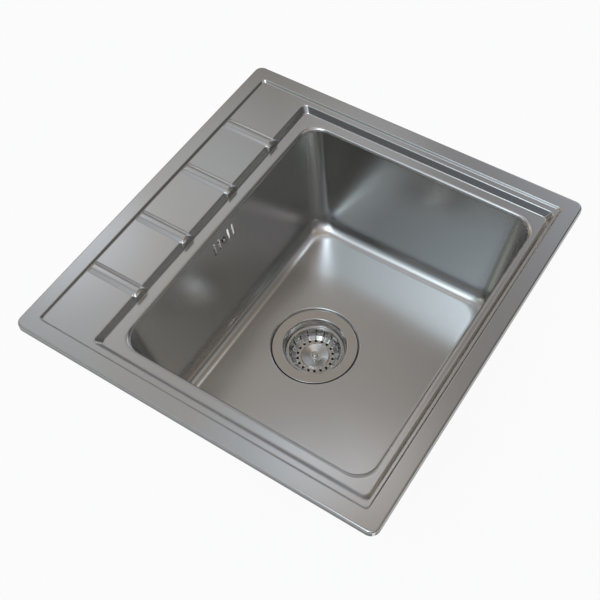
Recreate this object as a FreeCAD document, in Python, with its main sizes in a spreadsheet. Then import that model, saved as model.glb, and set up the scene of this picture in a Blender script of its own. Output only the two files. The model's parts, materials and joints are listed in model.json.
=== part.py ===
import FreeCAD, Part
import math
import os
import Sketcher

Vector = FreeCAD.Vector
Rotation = FreeCAD.Rotation
Placement = FreeCAD.Placement

doc = FreeCAD.newDocument("KitchenSink")
sheet = doc.addObject("Spreadsheet::Sheet", "Sizes")

# Driving dimensions in millimetres. Height 0 is the worktop that the rim rests on.
sizes = {
    # pressed sheet: rim, drainer tray, ledge and bowl
    "sheet_gauge": 1.0,
    "rim_across": 480.0,
    "rim_deep": 500.0,
    "rim_corner": 11.0,
    "rim_height": 8.0,
    "rim_bend": 2.5,
    "rim_border": 20.0,
    "tray_depth": 2.5,
    "tray_slope": 2.5,
    "tray_corner": 5.0,
    "tray_bend": 1.5,
    "drainer_width": 72.0,
    "ledge_side_gap": 5.0,
    "ledge_end_gap": 9.5,
    "ledge_depth": 8.0,
    "ledge_slope": 6.0,
    "ledge_corner": 7.0,
    "ledge_bend": 2.5,
    "ledge_left": 23.0,
    "ledge_right": 15.0,
    "ledge_ends": 20.5,
    "bowl_depth": 180.0,
    "bowl_inset": 20.0,
    "bowl_corner": 28.0,
    "bowl_bead": 5.0,
    "floor_bend": 21.0,
    # raised ribs between the drainer panels
    "rib_width": 7.5,
    "rib_height": 2.5,
    "rib_slope": 4.8,
    "rib_end_slope": 2.0,
    "rib_margin": 2.5,
    "rib_overhang": 3.5,
    "rib_corner": 2.0,
    "rib_nose_flare": 1.5,
    # waste seat pressed into the bowl's floor
    "waste_x": 5.0,
    "waste_y": 0.0,
    "recess_radius": 61.0,
    "recess_slope": 3.0,
    "recess_depth": 3.5,
    "waste_hole_radius": 44.0,
    # overflow openings in the left wall
    "overflow_y": -4.5,
    "overflow_below_rim": 34.5,
    "overflow_pitch": 9.8,
    "overflow_slot_width": 4.0,
    "overflow_slot_height": 21.6,
    "overflow_screw_hole_radius": 2.75,
    # foam under the rim and damping sheet under the floor
    "rim_seal_gap": 1.6,
    "rim_seal_width": 6.5,
    "damping_gauge": 3.0,
    "damping_margin": 10.0,
    "damping_corner": 15.0,
    "damping_hole_radius": 68.0,
    # hold-down clips
    "clip_inset": 15.0,
    "clip_drop": 11.0,
    "clip_spacing_x": 240.0,
    "clip_spacing_y": 260.0,
    "clip_stow_angle": 30.0,
    "bracket_gauge": 1.2,
    "bracket_width": 8.0,
    "bracket_reach": 7.4,
    "bracket_tail": 3.6,
    "pin_radius": 2.0,
    "pin_clearance": 0.05,
    "pin_head_radius": 3.2,
    "pin_head_height": 1.2,
    "claw_side_clearance": 0.3,
    "claw_hub_radius": 4.4,
    "claw_gauge": 3.0,
    "claw_reach": 9.0,
    "claw_drop": 25.5,
    "claw_foot": 6.0,
    "claw_pad_reach": 10.5,
    "claw_pad_depth": 5.0,
    "claw_tooth_height": 2.0,
    "clip_screw_radius": 2.5,
    "clip_screw_offset": 7.0,
    "clip_screw_tip": 2.0,
    "clip_screw_length": 26.0,
    "clip_screw_head_radius": 4.2,
    "clip_screw_head_height": 3.0,
    "clip_screw_slot": 1.2,
    # waste: flanged cup, gaskets, moulded body, centre screw and its insert
    "flange_radius": 56.2,
    "flange_gasket": 0.8,
    "cup_gauge": 1.0,
    "cup_mouth_radius": 42.0,
    "cup_mouth_roll": 1.5,
    "cup_seat_radius": 38.2,
    "cup_seat_depth": 10.0,
    "cup_radius": 35.8,
    "cup_step": 0.8,
    "cup_depth": 35.0,
    "cup_drain_radius": 5.0,
    "cup_drain_circle": 20.0,
    "body_gasket": 3.0,
    "body_flange_radius": 52.0,
    "body_flange_height": 4.2,
    "body_wall": 3.0,
    "body_bore_radius": 42.6,
    "body_depth": 41.0,
    "body_taper_depth": 16.0,
    "body_waist": 1.2,
    "outlet_radius": 23.9,
    "outlet_bore_radius": 20.4,
    "outlet_length": 32.0,
    "boss_radius": 12.0,
    "boss_top_depth": 50.0,
    "boss_height": 14.0,
    "web_gauge": 3.0,
    "web_height": 7.0,
    "web_reach": 22.4,
    "insert_radius": 8.5,
    "insert_height": 10.0,
    "centre_screw_radius": 5.0,
    "centre_screw_head_radius": 8.0,
    "centre_screw_head_height": 4.0,
    "centre_screw_length": 26.0,
    "centre_screw_socket_radius": 2.7,
    "centre_screw_socket_depth": 15.0,
    "fit_clearance": 0.1,
    # strainer basket with its knob, stem, spacer, rubber seal and retaining clip
    "basket_radius": 37.4,
    "basket_gauge": 0.8,
    "basket_rim_width": 2.8,
    "basket_lift_off": 0.3,
    "basket_depth": 15.8,
    "basket_hole_circle": 24.9,
    "basket_hole_radius": 1.5,
    "basket_disc_radius": 20.3,
    "basket_disc_rise": 2.8,
    "basket_dish": 1.2,
    "basket_slit_circle": 32.6,
    "basket_slit_width": 1.3,
    "basket_slit_length": 4.0,
    "stem_radius": 2.0,
    "stem_tip_radius": 2.4,
    "stem_tip_depth": 44.0,
    "stem_groove": 0.6,
    "knob_radius": 3.6,
    "knob_waist_radius": 2.7,
    "knob_foot_radius": 5.0,
    "knob_height": 8.0,
    "seal_hub_radius": 10.0,
    "seal_hub_depth": 26.5,
    "seal_hub_height": 3.0,
    "seal_radius": 31.0,
    "seal_lip": 2.0,
    "seal_clearance": 0.4,
    "spacer_radius": 6.0,
    "retainer_radius": 6.0,
    "retainer_gauge": 1.0,
    # overflow housing, gasket, screw and rigid pipe
    "overflow_gasket_gauge": 2.5,
    "overflow_gasket_border": 5.0,
    "housing_length": 60.0,
    "housing_rim": 3.5,
    "housing_height": 37.5,
    "housing_depth": 29.0,
    "housing_wall": 2.5,
    "housing_boss_radius": 5.0,
    "overflow_screw_radius": 2.5,
    "overflow_screw_length": 18.0,
    "overflow_head_radius": 3.9,
    "overflow_head_height": 1.8,
    "overflow_head_standoff": 0.6,
    "pipe_radius": 10.0,
    "pipe_wall": 1.5,
    "pipe_set_back": 17.7,
    "pipe_bend": 32.0,
    "pipe_insert": 10.0,
    "spigot_radius": 13.5,
    "spigot_length": 16.0,
    "spigot_stop": 12.0,
    "inlet_depth": 28.0,
    "inlet_reach": 62.0,
    "nut_radius": 17.5,
    "nut_length": 18.5,
    "nut_cap": 2.5,
    "nut_thread_clearance": 0.15,
    "nut_lobe_radius": 1.6,
    "cone_seal_height": 4.2,
    # a cut runs past its solid by this much
    "overrun": 5.0,
}

# How many of each repeated feature there are.
panel_count = 5
drain_count = 8
web_count = 3
basket_hole_count = 18
claw_tooth_count = 2
nut_lobe_count = 8

# A slot's end is a touch flatter than a half circle, so that a short straight edge stays.
slot_end_share = 0.98
# A clip screw's chamfer as a share of its radius, and a driver slot as a share of its head.
screw_tip_share = 0.35
screw_slot_share = 0.5


class Size:
    """A length with its number and the rule that ties it to the sheet."""

    def __init__(self, number, rule):
        self.number = number
        self.rule = rule

    def __add__(self, other):
        other = as_size(other)
        return Size(self.number + other.number, "(%s + %s)" % (self.rule, other.rule))

    def __sub__(self, other):
        other = as_size(other)
        return Size(self.number - other.number, "(%s - %s)" % (self.rule, other.rule))

    def __mul__(self, share):
        share = as_size(share)
        return Size(self.number * share.number, "(%s * %s)" % (self.rule, share.rule))

    def __truediv__(self, share):
        share = as_size(share)
        return Size(self.number / share.number, "(%s / %s)" % (self.rule, share.rule))

    def __neg__(self):
        return Size(-self.number, "(0 - %s)" % self.rule)


def as_size(value):
    if isinstance(value, Size):
        return value
    return Size(float(value), "%r" % float(value))


class Dimensions:
    """The sheet's cells by name."""


dim = Dimensions()
for row, (alias, number) in enumerate(sizes.items(), 1):
    sheet.set("A%d" % row, alias)
    sheet.set("B%d" % row, str(number))
    sheet.setAlias("B%d" % row, alias)
    setattr(dim, alias, Size(number, "Sizes." + alias))
doc.recompute()

zero = as_size(0)


# Sketches

def origin_plane(body, role):
    for feature in body.Origin.OriginFeatures:
        if feature.Role == role:
            return feature
    raise ValueError(role)


def start_sketch(body, name, role="XY_Plane", height=zero):
    sketch = body.newObject("Sketcher::SketchObject", name)
    sketch.AttachmentSupport = [(origin_plane(body, role), "")]
    sketch.MapMode = "FlatFace"
    sketch.AttachmentOffset = Placement(Vector(0, 0, height.number), Rotation())
    sketch.setExpression("AttachmentOffset.Base.z", height.rule)
    return sketch


def drive(sketch, kind, places, size):
    index = sketch.addConstraint(Sketcher.Constraint(kind, *places, size.number))
    name = "size%d" % index
    sketch.renameConstraint(index, name)
    sketch.setExpression("Constraints." + name, size.rule)


def lock_point(sketch, edge, end, x, y):
    """Ties a point to the sketch's origin, on an axis where its distance is 0."""
    if x.number == 0:
        sketch.addConstraint(Sketcher.Constraint("PointOnObject", edge, end, -2))
    else:
        drive(sketch, "DistanceX", (-1, 1, edge, end), x)
    if y.number == 0:
        sketch.addConstraint(Sketcher.Constraint("PointOnObject", edge, end, -1))
    else:
        drive(sketch, "DistanceY", (-1, 1, edge, end), y)


def add_outline(sketch, points):
    """A closed outline of straight lines through the points."""
    points = [(as_size(x), as_size(y)) for x, y in points]
    corners = [Vector(x.number, y.number, 0) for x, y in points]
    first = sketch.GeometryCount
    count = len(corners)
    lines = [Part.LineSegment(corners[i], corners[(i + 1) % count]) for i in range(count)]
    sketch.addGeometry(lines, False)
    for i in range(count):
        joint = Sketcher.Constraint("Coincident", first + i, 2, first + (i + 1) % count, 1)
        sketch.addConstraint(joint)
    for i, (x, y) in enumerate(points):
        lock_point(sketch, first + i, 1, x, y)


def add_circle(sketch, x, y, radius):
    x, y = as_size(x), as_size(y)
    index = sketch.GeometryCount
    circle = Part.Circle(Vector(x.number, y.number, 0), Vector(0, 0, 1), radius.number)
    sketch.addGeometry(circle, False)
    drive(sketch, "Radius", (index,), radius)
    lock_point(sketch, index, 3, x, y)


def add_rounded_box(sketch, box, corner):
    """Four lines and four quarter arcs; box is left, right, front and back."""
    left, right, front, back = [side.number for side in box]
    bend = corner.number
    first = sketch.GeometryCount
    lines = [
        Part.LineSegment(Vector(left + bend, front, 0), Vector(right - bend, front, 0)),
        Part.LineSegment(Vector(right, front + bend, 0), Vector(right, back - bend, 0)),
        Part.LineSegment(Vector(right - bend, back, 0), Vector(left + bend, back, 0)),
        Part.LineSegment(Vector(left, back - bend, 0), Vector(left, front + bend, 0)),
    ]
    centres = [
        (right - bend, front + bend),
        (right - bend, back - bend),
        (left + bend, back - bend),
        (left + bend, front + bend),
    ]
    arcs = []
    for i, (x, y) in enumerate(centres):
        circle = Part.Circle(Vector(x, y, 0), Vector(0, 0, 1), bend)
        start = math.radians(90 * (i - 1))
        arcs.append(Part.ArcOfCircle(circle, start, start + math.radians(90)))
    sketch.addGeometry(lines + arcs, False)
    for i in range(4):
        kind = "Vertical" if i % 2 else "Horizontal"
        sketch.addConstraint(Sketcher.Constraint(kind, first + i))
        arc = first + 4 + i
        sketch.addConstraint(Sketcher.Constraint("Tangent", first + i, 2, arc, 1))
        sketch.addConstraint(Sketcher.Constraint("Tangent", arc, 2, first + (i + 1) % 4, 1))
        if i:
            sketch.addConstraint(Sketcher.Constraint("Equal", first + 4, arc))
    drive(sketch, "Radius", (first + 4,), corner)
    drive(sketch, "DistanceX", (-1, 1, first + 3, 1), box[0])
    drive(sketch, "DistanceX", (-1, 1, first + 1, 1), box[1])
    drive(sketch, "DistanceY", (-1, 1, first, 1), box[2])
    drive(sketch, "DistanceY", (-1, 1, first + 2, 1), box[3])


def box_sketch(body, name, box, corner, height=zero, role="XY_Plane"):
    sketch = start_sketch(body, name, role, height)
    add_rounded_box(sketch, box, corner)
    return sketch


def circle_sketch(body, name, x, y, radius, height=zero, role="XY_Plane"):
    sketch = start_sketch(body, name, role, height)
    add_circle(sketch, x, y, radius)
    return sketch


def outline_sketch(body, name, points, role="XZ_Plane", height=zero):
    sketch = start_sketch(body, name, role, height)
    add_outline(sketch, points)
    return sketch


def grown(box, margin):
    return (box[0] - margin, box[1] + margin, box[2] - margin, box[3] + margin)


# Features

def new_body(label):
    body = doc.addObject("PartDesign::Body", label)
    body.Label = label
    return body


def extrude(body, kind, name, sketch, length, upwards=True, midplane=False):
    feature = body.newObject("PartDesign::" + kind, name)
    feature.Profile = sketch
    feature.setExpression("Length", length.rule)
    if midplane:
        feature.SideType = "Symmetric"
    feature.Reversed = upwards if kind == "Pocket" else not upwards
    sketch.Visibility = False
    return feature


def pad(body, name, sketch, length, upwards=True, midplane=False):
    return extrude(body, "Pad", name, sketch, length, upwards, midplane)


def pocket(body, name, sketch, length, upwards=False, midplane=False):
    return extrude(body, "Pocket", name, sketch, length, upwards, midplane)


def loft(body, kind, name, first, second):
    feature = body.newObject("PartDesign::" + kind, name)
    feature.Profile = first
    feature.Sections = [second]
    feature.Ruled = True
    return feature


def turn(body, name, sketch, kind="Revolution"):
    feature = body.newObject("PartDesign::" + kind, name)
    feature.Profile = sketch
    feature.ReferenceAxis = (sketch, ["V_Axis"])
    feature.Angle = 360
    return feature


def repeat_round(body, name, features, count):
    doc.recompute()
    pattern = body.newObject("PartDesign::PolarPattern", name)
    pattern.Originals = features
    pattern.Axis = (origin_axis(body, "Z_Axis"), [""])
    pattern.Angle = 360
    pattern.Occurrences = count
    body.Tip = pattern
    return pattern


def origin_axis(body, role):
    return origin_plane(body, role)


def edges_at(base, level, box=None, slack=0.3):
    """Names of the edges that lie flat at one height, on or near the sides of a box."""
    names = []
    for index, edge in enumerate(base.Shape.Edges, 1):
        bounds = edge.BoundBox
        if abs(bounds.ZMin - level.number) > 1e-4 or abs(bounds.ZMax - level.number) > 1e-4:
            continue
        if box is not None and not on_sides(edge, box, slack):
            continue
        names.append("Edge%d" % index)
    return names


def on_sides(edge, box, slack):
    """True where an edge follows the rounded box: on one side, or in one of its corners."""
    left, right, front, back = [side.number for side in box]
    middle = edge.valueAt((edge.FirstParameter + edge.LastParameter) / 2)
    ends = [vertex.Point for vertex in edge.Vertexes]
    on_line = [
        all(abs(point.x - side) < slack for point in ends + [middle]) for side in (left, right)
    ]
    on_line += [
        all(abs(point.y - side) < slack for point in ends + [middle]) for side in (front, back)
    ]
    if any(on_line):
        return True
    if len(ends) < 2:
        return False
    starts = []
    for point in ends:
        near_x = min(abs(point.x - left), abs(point.x - right)) < slack
        near_y = min(abs(point.y - front), abs(point.y - back)) < slack
        starts.append((near_x, near_y))
    return (True, False) in starts and (False, True) in starts


def round_edges(body, name, base, names, radius):
    fillet = body.newObject("PartDesign::Fillet", name)
    fillet.Base = (base, names)
    fillet.setExpression("Radius", radius.rule)
    doc.recompute()
    return fillet


# The main outlines and levels of the pressed sheet

rim_box = (-dim.rim_across / 2, dim.rim_across / 2, -dim.rim_deep / 2, dim.rim_deep / 2)
tray_box = grown(rim_box, -dim.rim_border)
tray_foot = grown(tray_box, -dim.tray_slope)
ledge_box = (
    tray_box[0] + dim.drainer_width,
    tray_box[1] - dim.ledge_side_gap,
    tray_box[2] + dim.ledge_end_gap,
    tray_box[3] - dim.ledge_end_gap,
)
ledge_foot = grown(ledge_box, -dim.ledge_slope)
bowl_box = (
    ledge_box[0] + dim.ledge_left,
    ledge_box[1] - dim.ledge_right,
    ledge_box[2] + dim.ledge_ends,
    ledge_box[3] - dim.ledge_ends,
)
floor_box = grown(bowl_box, -dim.bowl_inset)

rim_level = dim.rim_height
tray_level = rim_level - dim.tray_depth
ledge_level = tray_level - dim.ledge_depth
floor_level = rim_level - dim.bowl_depth
seat_level = floor_level - dim.recess_depth
overflow_level = rim_level - dim.overflow_below_rim
rib_pitch = (tray_box[3] - tray_box[2]) / panel_count


def left_wall_x(level):
    """The bowl's left wall leans inwards; this is its inner face at a height."""
    return bowl_box[0] + dim.bowl_inset * ((ledge_level - level) / (ledge_level - floor_level))


def make_shell():
    body = new_body("sink_shell")
    gauge = dim.sheet_gauge

    outline = box_sketch(body, "RimOutline", rim_box, dim.rim_corner)
    rim = pad(body, "RimPad", outline, rim_level)
    doc.recompute()
    rim = round_edges(body, "RimBend", rim, edges_at(rim, rim_level), dim.rim_bend)

    inside = grown(rim_box, -gauge)
    hollow = box_sketch(body, "LipInside", inside, dim.rim_corner - gauge)
    pocket(body, "LipPocket", hollow, tray_level - gauge, upwards=True)
    ring = start_sketch(body, "RimUnderside", height=tray_level - gauge)
    add_rounded_box(ring, inside, dim.rim_corner - gauge)
    add_rounded_box(ring, grown(tray_box, gauge), dim.tray_corner + gauge)
    under = pocket(body, "RimUndersidePocket", ring, dim.tray_depth, upwards=True)
    doc.recompute()
    under = round_edges(
        body, "LipInnerBend", under, edges_at(under, rim_level - gauge, inside), dim.rim_bend - gauge
    )

    # The sheet's outside first, then its inside. Hollow bends are rounded before
    # humped ones, so that the sheet stays whole between them.
    half = gauge / 2
    outer_ledge = grown(ledge_box, half)
    outer_ledge_foot = grown(ledge_foot, half)
    outer_bowl = grown(bowl_box, gauge)
    top = box_sketch(body, "LedgeOuterTop", outer_ledge, dim.ledge_corner, tray_level - gauge)
    foot = box_sketch(
        body, "LedgeOuterFoot", outer_ledge_foot, dim.ledge_corner, ledge_level - gauge
    )
    loft(body, "AdditiveLoft", "LedgeOuter", top, foot)
    outer_corner = dim.bowl_corner + gauge
    top = box_sketch(body, "BowlOuterTop", outer_bowl, outer_corner, ledge_level - gauge)
    foot = box_sketch(
        body, "BowlOuterFoot", grown(floor_box, gauge), outer_corner, floor_level - gauge
    )
    loft(body, "AdditiveLoft", "BowlOuter", top, foot)
    top = box_sketch(body, "TrayTop", tray_box, dim.tray_corner, rim_level)
    foot = box_sketch(body, "TrayFoot", tray_foot, dim.tray_corner, tray_level)
    loft(body, "SubtractiveLoft", "Tray", top, foot)
    top = box_sketch(body, "LedgeTop", ledge_box, dim.ledge_corner, tray_level)
    foot = box_sketch(body, "LedgeFoot", ledge_foot, dim.ledge_corner, ledge_level)
    loft(body, "SubtractiveLoft", "Ledge", top, foot)
    top = box_sketch(body, "BowlTop", bowl_box, dim.bowl_corner, ledge_level)
    foot = box_sketch(body, "BowlFloor", floor_box, dim.bowl_corner, floor_level)
    base = loft(body, "SubtractiveLoft", "Bowl", top, foot)
    doc.recompute()
    bends = [
        ("NeckOuterBend", ledge_level - gauge, outer_bowl, dim.bowl_bead - gauge),
        ("LedgeOuterTopBend", tray_level - gauge, outer_ledge, dim.ledge_bend - gauge),
        ("FloorBend", floor_level, floor_box, dim.floor_bend),
        ("LedgeFootBend", ledge_level, ledge_foot, dim.ledge_bend),
        ("TrayFootBend", tray_level, tray_foot, dim.tray_bend),
        ("BowlBead", ledge_level, bowl_box, dim.bowl_bead),
        ("LedgeTopBend", tray_level, ledge_box, dim.ledge_bend),
        ("TrayTopBend", rim_level, tray_box, dim.tray_bend),
        ("FloorOuterBend", floor_level - gauge, grown(floor_box, gauge), dim.floor_bend + gauge),
        ("LedgeOuterFootBend", ledge_level - gauge, outer_ledge_foot, dim.ledge_bend + gauge),
    ]
    for name, level, box, radius in bends:
        base = round_edges(body, name, base, edges_at(base, level, box), radius)

    # The waste seat is a shallow dish around the hole.
    centre = (dim.waste_x, dim.waste_y)
    outer = dim.recess_radius + gauge
    top = circle_sketch(body, "SeatOuterTop", *centre, outer, floor_level - gauge)
    foot = circle_sketch(
        body, "SeatOuterFoot", *centre, outer - dim.recess_slope, seat_level - gauge
    )
    loft(body, "AdditiveLoft", "SeatOuter", top, foot)
    top = circle_sketch(body, "SeatTop", *centre, dim.recess_radius, floor_level)
    foot = circle_sketch(
        body, "SeatFoot", *centre, dim.recess_radius - dim.recess_slope, seat_level
    )
    loft(body, "SubtractiveLoft", "Seat", top, foot)
    hole = circle_sketch(body, "WasteHole", *centre, dim.waste_hole_radius, seat_level)
    pocket(body, "WasteHolePocket", hole, gauge + dim.overrun)

    # Four slots and the screw hole, cut straight through the left wall.
    wall = left_wall_x(overflow_level)
    slots = start_sketch(body, "OverflowSlots", "YZ_Plane", wall)
    half_width = dim.overflow_slot_width / 2
    half_height = dim.overflow_slot_height / 2
    for step in (-2, -1, 1, 2):
        y = dim.overflow_y + dim.overflow_pitch * step
        box = (
            y - half_width,
            y + half_width,
            overflow_level - half_height,
            overflow_level + half_height,
        )
        add_rounded_box(slots, box, half_width * slot_end_share)
    add_circle(slots, dim.overflow_y, overflow_level, dim.overflow_screw_hole_radius)
    pocket(body, "OverflowPocket", slots, dim.overrun * 2, midplane=True)
    make_ribs(body)
    return body


def make_ribs(body):
    """Raised ribs, hollow beneath, whose right ends stand out over the ledge's wall."""
    gauge = dim.sheet_gauge
    y = tray_box[2] + rib_pitch
    half = dim.rib_width / 2
    foot_half = half + dim.rib_slope
    end = dim.rib_end_slope
    flare = dim.rib_nose_flare
    left = tray_foot[0] + dim.rib_margin
    right = ledge_box[0] + dim.rib_overhang
    rib_top = (left, right, y - half, y + half)
    rib_foot = (left - end, right + end, y - foot_half, y + foot_half)
    nose_left = ledge_box[0] - end
    nose_top = (nose_left, rib_foot[1], rib_foot[2], rib_foot[3])
    nose_foot = (nose_left, rib_foot[1] + flare, rib_foot[2] - flare, rib_foot[3] + flare)
    crest = tray_level + dim.rib_height
    # name, kind, upper outline and level, lower outline and level, growth and corner
    inner_corner = dim.rib_corner - gauge / 2
    stages = [
        ("Rib", "AdditiveLoft", rib_top, crest, rib_foot, tray_level, zero, dim.rib_corner),
        (
            "RibNose", "AdditiveLoft", nose_top, tray_level, nose_foot, ledge_level,
            zero, dim.rib_corner,
        ),
        (
            "RibHollow", "SubtractiveLoft", rib_top, crest - gauge, rib_foot,
            tray_level - gauge, -gauge, inner_corner,
        ),
        (
            "RibNoseHollow", "SubtractiveLoft", nose_top, tray_level - gauge, nose_foot,
            ledge_level - gauge, -gauge, inner_corner,
        ),
    ]
    features = []
    for name, kind, top_box, top_level, foot_box, foot_level, growth, corner in stages:
        top = box_sketch(body, name + "Top", grown(top_box, growth), corner, top_level)
        foot = box_sketch(body, name + "Foot", grown(foot_box, growth), corner, foot_level)
        features.append(loft(body, kind, name, top, foot))
    doc.recompute()
    pattern = body.newObject("PartDesign::LinearPattern", "RibPattern")
    pattern.Originals = features
    pattern.Direction = (origin_plane(body, "Y_Axis"), [""])
    pattern.setExpression("Length", (rib_pitch * (panel_count - 2)).rule)
    pattern.Occurrences = panel_count - 1
    body.Tip = pattern


def make_rim_seal():
    body = new_body("rim_seal")
    outer = grown(rim_box, -dim.sheet_gauge - dim.rim_seal_gap)
    outer_corner = dim.rim_corner - dim.sheet_gauge - dim.rim_seal_gap
    inner = grown(outer, -dim.rim_seal_width)
    frame = start_sketch(body, "SealFrame")
    add_rounded_box(frame, outer, outer_corner)
    add_rounded_box(frame, inner, outer_corner - dim.rim_seal_width)
    pad(body, "SealPad", frame, rim_level - dim.sheet_gauge)
    return body


def make_damping_pad():
    body = new_body("damping_pad")
    flat = grown(floor_box, -dim.floor_bend - dim.damping_margin)
    under = floor_level - dim.sheet_gauge
    outline = box_sketch(body, "PadOutline", flat, dim.damping_corner, under)
    add_circle(outline, dim.waste_x, dim.waste_y, dim.damping_hole_radius)
    pad(body, "DampingPad", outline, dim.damping_gauge, upwards=False)
    return body


# Clips. Each side of the rim carries two; a clip's own x points outwards from the sink.

pivot_x = dim.rim_across / 2 - dim.clip_inset
pivot_y = dim.rim_deep / 2 - dim.clip_inset
pivot_level = rim_level - dim.clip_drop
half_x = dim.clip_spacing_x / 2
half_y = dim.clip_spacing_y / 2
clip_places = [
    (0, pivot_x, -half_y),
    (0, pivot_x, half_y),
    (90, half_x, pivot_y),
    (90, -half_x, pivot_y),
    (180, -pivot_x, half_y),
    (180, -pivot_x, -half_y),
    (270, -half_x, -pivot_y),
    (270, half_x, -pivot_y),
]


def spread(turned, centre, across, along):
    """A rectangle about a centre; across runs outwards from the sink."""
    x, y = centre
    reach = (along, across) if turned else (across, along)
    return [
        (x - reach[0], y - reach[1]),
        (x + reach[0], y - reach[1]),
        (x + reach[0], y + reach[1]),
        (x - reach[0], y + reach[1]),
    ]


def make_clip_brackets():
    body = new_body("clip_brackets")
    body.AllowCompound = True
    gauge = dim.bracket_gauge
    under = rim_level - dim.sheet_gauge
    half_width = dim.bracket_width + gauge
    half_reach = dim.bracket_reach / 2
    plates = start_sketch(body, "BracketPlates", height=under)
    ears = start_sketch(body, "BracketEars", height=under - gauge)
    for angle, x, y in clip_places:
        turned = angle in (90, 270)
        add_outline(plates, spread(turned, (x, y), half_reach, half_width))
        for side in (-1, 1):
            shift = (dim.bracket_width + gauge / 2) * side
            centre = (x + shift, y) if turned else (x, y + shift)
            add_outline(ears, spread(turned, centre, half_reach, gauge / 2))
    pad(body, "BracketPlatePad", plates, gauge, upwards=False)
    ear_depth = under - gauge - pivot_level + dim.bracket_tail
    pad(body, "BracketEarPad", ears, ear_depth, upwards=False)
    bore = dim.pin_radius + dim.pin_clearance
    for role, reach, name in (("XZ_Plane", pivot_x, "Side"), ("YZ_Plane", pivot_y, "End")):
        holes = start_sketch(body, name + "PinHoles", role)
        add_circle(holes, reach, pivot_level, bore)
        add_circle(holes, -reach, pivot_level, bore)
        pocket(body, name + "PinHolePocket", holes, dim.rim_deep, midplane=True)
    return body


def make_clip_pins():
    body = new_body("clip_pins")
    body.AllowCompound = True
    grip = dim.bracket_width + dim.bracket_gauge + dim.fit_clearance
    for index, (angle, x, y) in enumerate(clip_places, 1):
        turned = angle in (90, 270)
        role = "YZ_Plane" if turned else "XZ_Plane"
        along, across = (x, y) if turned else (-y, x)
        name = "Pin%d" % index
        shank = circle_sketch(body, name, across, pivot_level, dim.pin_radius, along, role)
        pad(body, name + "Shank", shank, grip * 2, midplane=True)
        for side in (-1, 1):
            end = "%sHead%s" % (name, "A" if side < 0 else "B")
            level = along + (grip + dim.pin_head_height / 2) * side
            head = circle_sketch(body, end, across, pivot_level, dim.pin_head_radius, level, role)
            pad(body, end + "Pad", head, dim.pin_head_height, midplane=True)
    return body


def place_clip(body, angle, x, y):
    """Stands a clip part at its pivot, folded inwards by the stowing angle."""
    outwards = Rotation(Vector(0, 0, 1), angle)
    folded = Rotation(Vector(0, 1, 0), sizes["clip_stow_angle"])
    base = Vector(x.number, y.number, pivot_level.number)
    body.Placement = Placement(base, outwards.multiply(folded))
    body.setExpression("Placement.Base.x", x.rule)
    body.setExpression("Placement.Base.y", y.rule)
    body.setExpression("Placement.Base.z", pivot_level.rule)


def make_clip_claw(label, place):
    body = new_body(label)
    width = (dim.bracket_width - dim.claw_side_clearance) * 2
    half = dim.claw_gauge / 2
    foot_top = -dim.claw_drop - dim.claw_tooth_height
    foot_under = foot_top - dim.claw_gauge
    strip = [
        (-half, zero),
        (-half, foot_under),
        (half + dim.claw_reach + dim.claw_foot, foot_under),
    ]
    tip = half + dim.claw_reach + dim.claw_foot
    pitch = dim.claw_foot / claw_tooth_count
    strip.append((tip, foot_top))
    for index in range(claw_tooth_count):
        edge = tip - pitch * index
        strip.append((edge - pitch / 2, foot_top + dim.claw_tooth_height))
        strip.append((edge - pitch, foot_top))
    strip += [(half, foot_top), (half, zero)]
    arm = outline_sketch(body, "ClawStrip", strip)
    pad(body, "ClawStripPad", arm, width, midplane=True)
    hub = circle_sketch(body, "ClawHub", zero, zero, dim.claw_hub_radius, role="XZ_Plane")
    pad(body, "ClawHubPad", hub, width, midplane=True)
    ledge_top = -dim.claw_pad_depth
    threaded = [
        (zero, ledge_top),
        (-dim.claw_pad_reach, ledge_top),
        (-dim.claw_pad_reach, ledge_top - dim.claw_gauge),
        (zero, ledge_top - dim.claw_gauge),
    ]
    plate = outline_sketch(body, "ClawThreadPlate", threaded)
    pad(body, "ClawThreadPlatePad", plate, width, midplane=True)
    bore = dim.pin_radius + dim.pin_clearance
    pin = circle_sketch(body, "ClawPinBore", zero, zero, bore, role="XZ_Plane")
    pocket(body, "ClawPinBorePocket", pin, width + dim.overrun, midplane=True)
    bore = dim.clip_screw_radius + dim.pin_clearance
    thread = circle_sketch(
        body, "ClawThreadBore", -dim.clip_screw_offset, zero, bore, ledge_top + dim.overrun / 2
    )
    pocket(body, "ClawThreadBorePocket", thread, dim.claw_gauge + dim.overrun)
    place_clip(body, *place)
    return body


def make_clip_screw(label, place):
    body = new_body(label)
    offset = -dim.clip_screw_offset
    shank_top = dim.clip_screw_tip
    shank = circle_sketch(body, "ScrewShank", offset, zero, dim.clip_screw_radius, shank_top)
    pad(body, "ScrewShankPad", shank, dim.clip_screw_length, upwards=False)
    head_top = shank_top - dim.clip_screw_length
    head = circle_sketch(body, "ScrewHead", offset, zero, dim.clip_screw_head_radius, head_top)
    pad(body, "ScrewHeadPad", head, dim.clip_screw_head_height, upwards=False)
    doc.recompute()
    tip = body.Tip
    rounded = body.newObject("PartDesign::Chamfer", "ScrewTipChamfer")
    rounded.Base = (tip, edges_at(tip, shank_top))
    rounded.setExpression("Size", (dim.clip_screw_radius * screw_tip_share).rule)
    head_under = head_top - dim.clip_screw_head_height
    radius = dim.clip_screw_head_radius
    half = dim.clip_screw_slot / 2
    slot = [
        (offset - radius, -half),
        (offset + radius, -half),
        (offset + radius, half),
        (offset - radius, half),
    ]
    groove = outline_sketch(body, "ScrewSlot", slot, "XY_Plane", head_under)
    depth = dim.clip_screw_head_height * screw_slot_share
    pocket(body, "ScrewSlotPocket", groove, depth, upwards=True)
    place_clip(body, *place)
    return body


# Waste. Radii are about the waste's own axis, and levels are measured from the flange.

datum = seat_level + dim.flange_gasket


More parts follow.
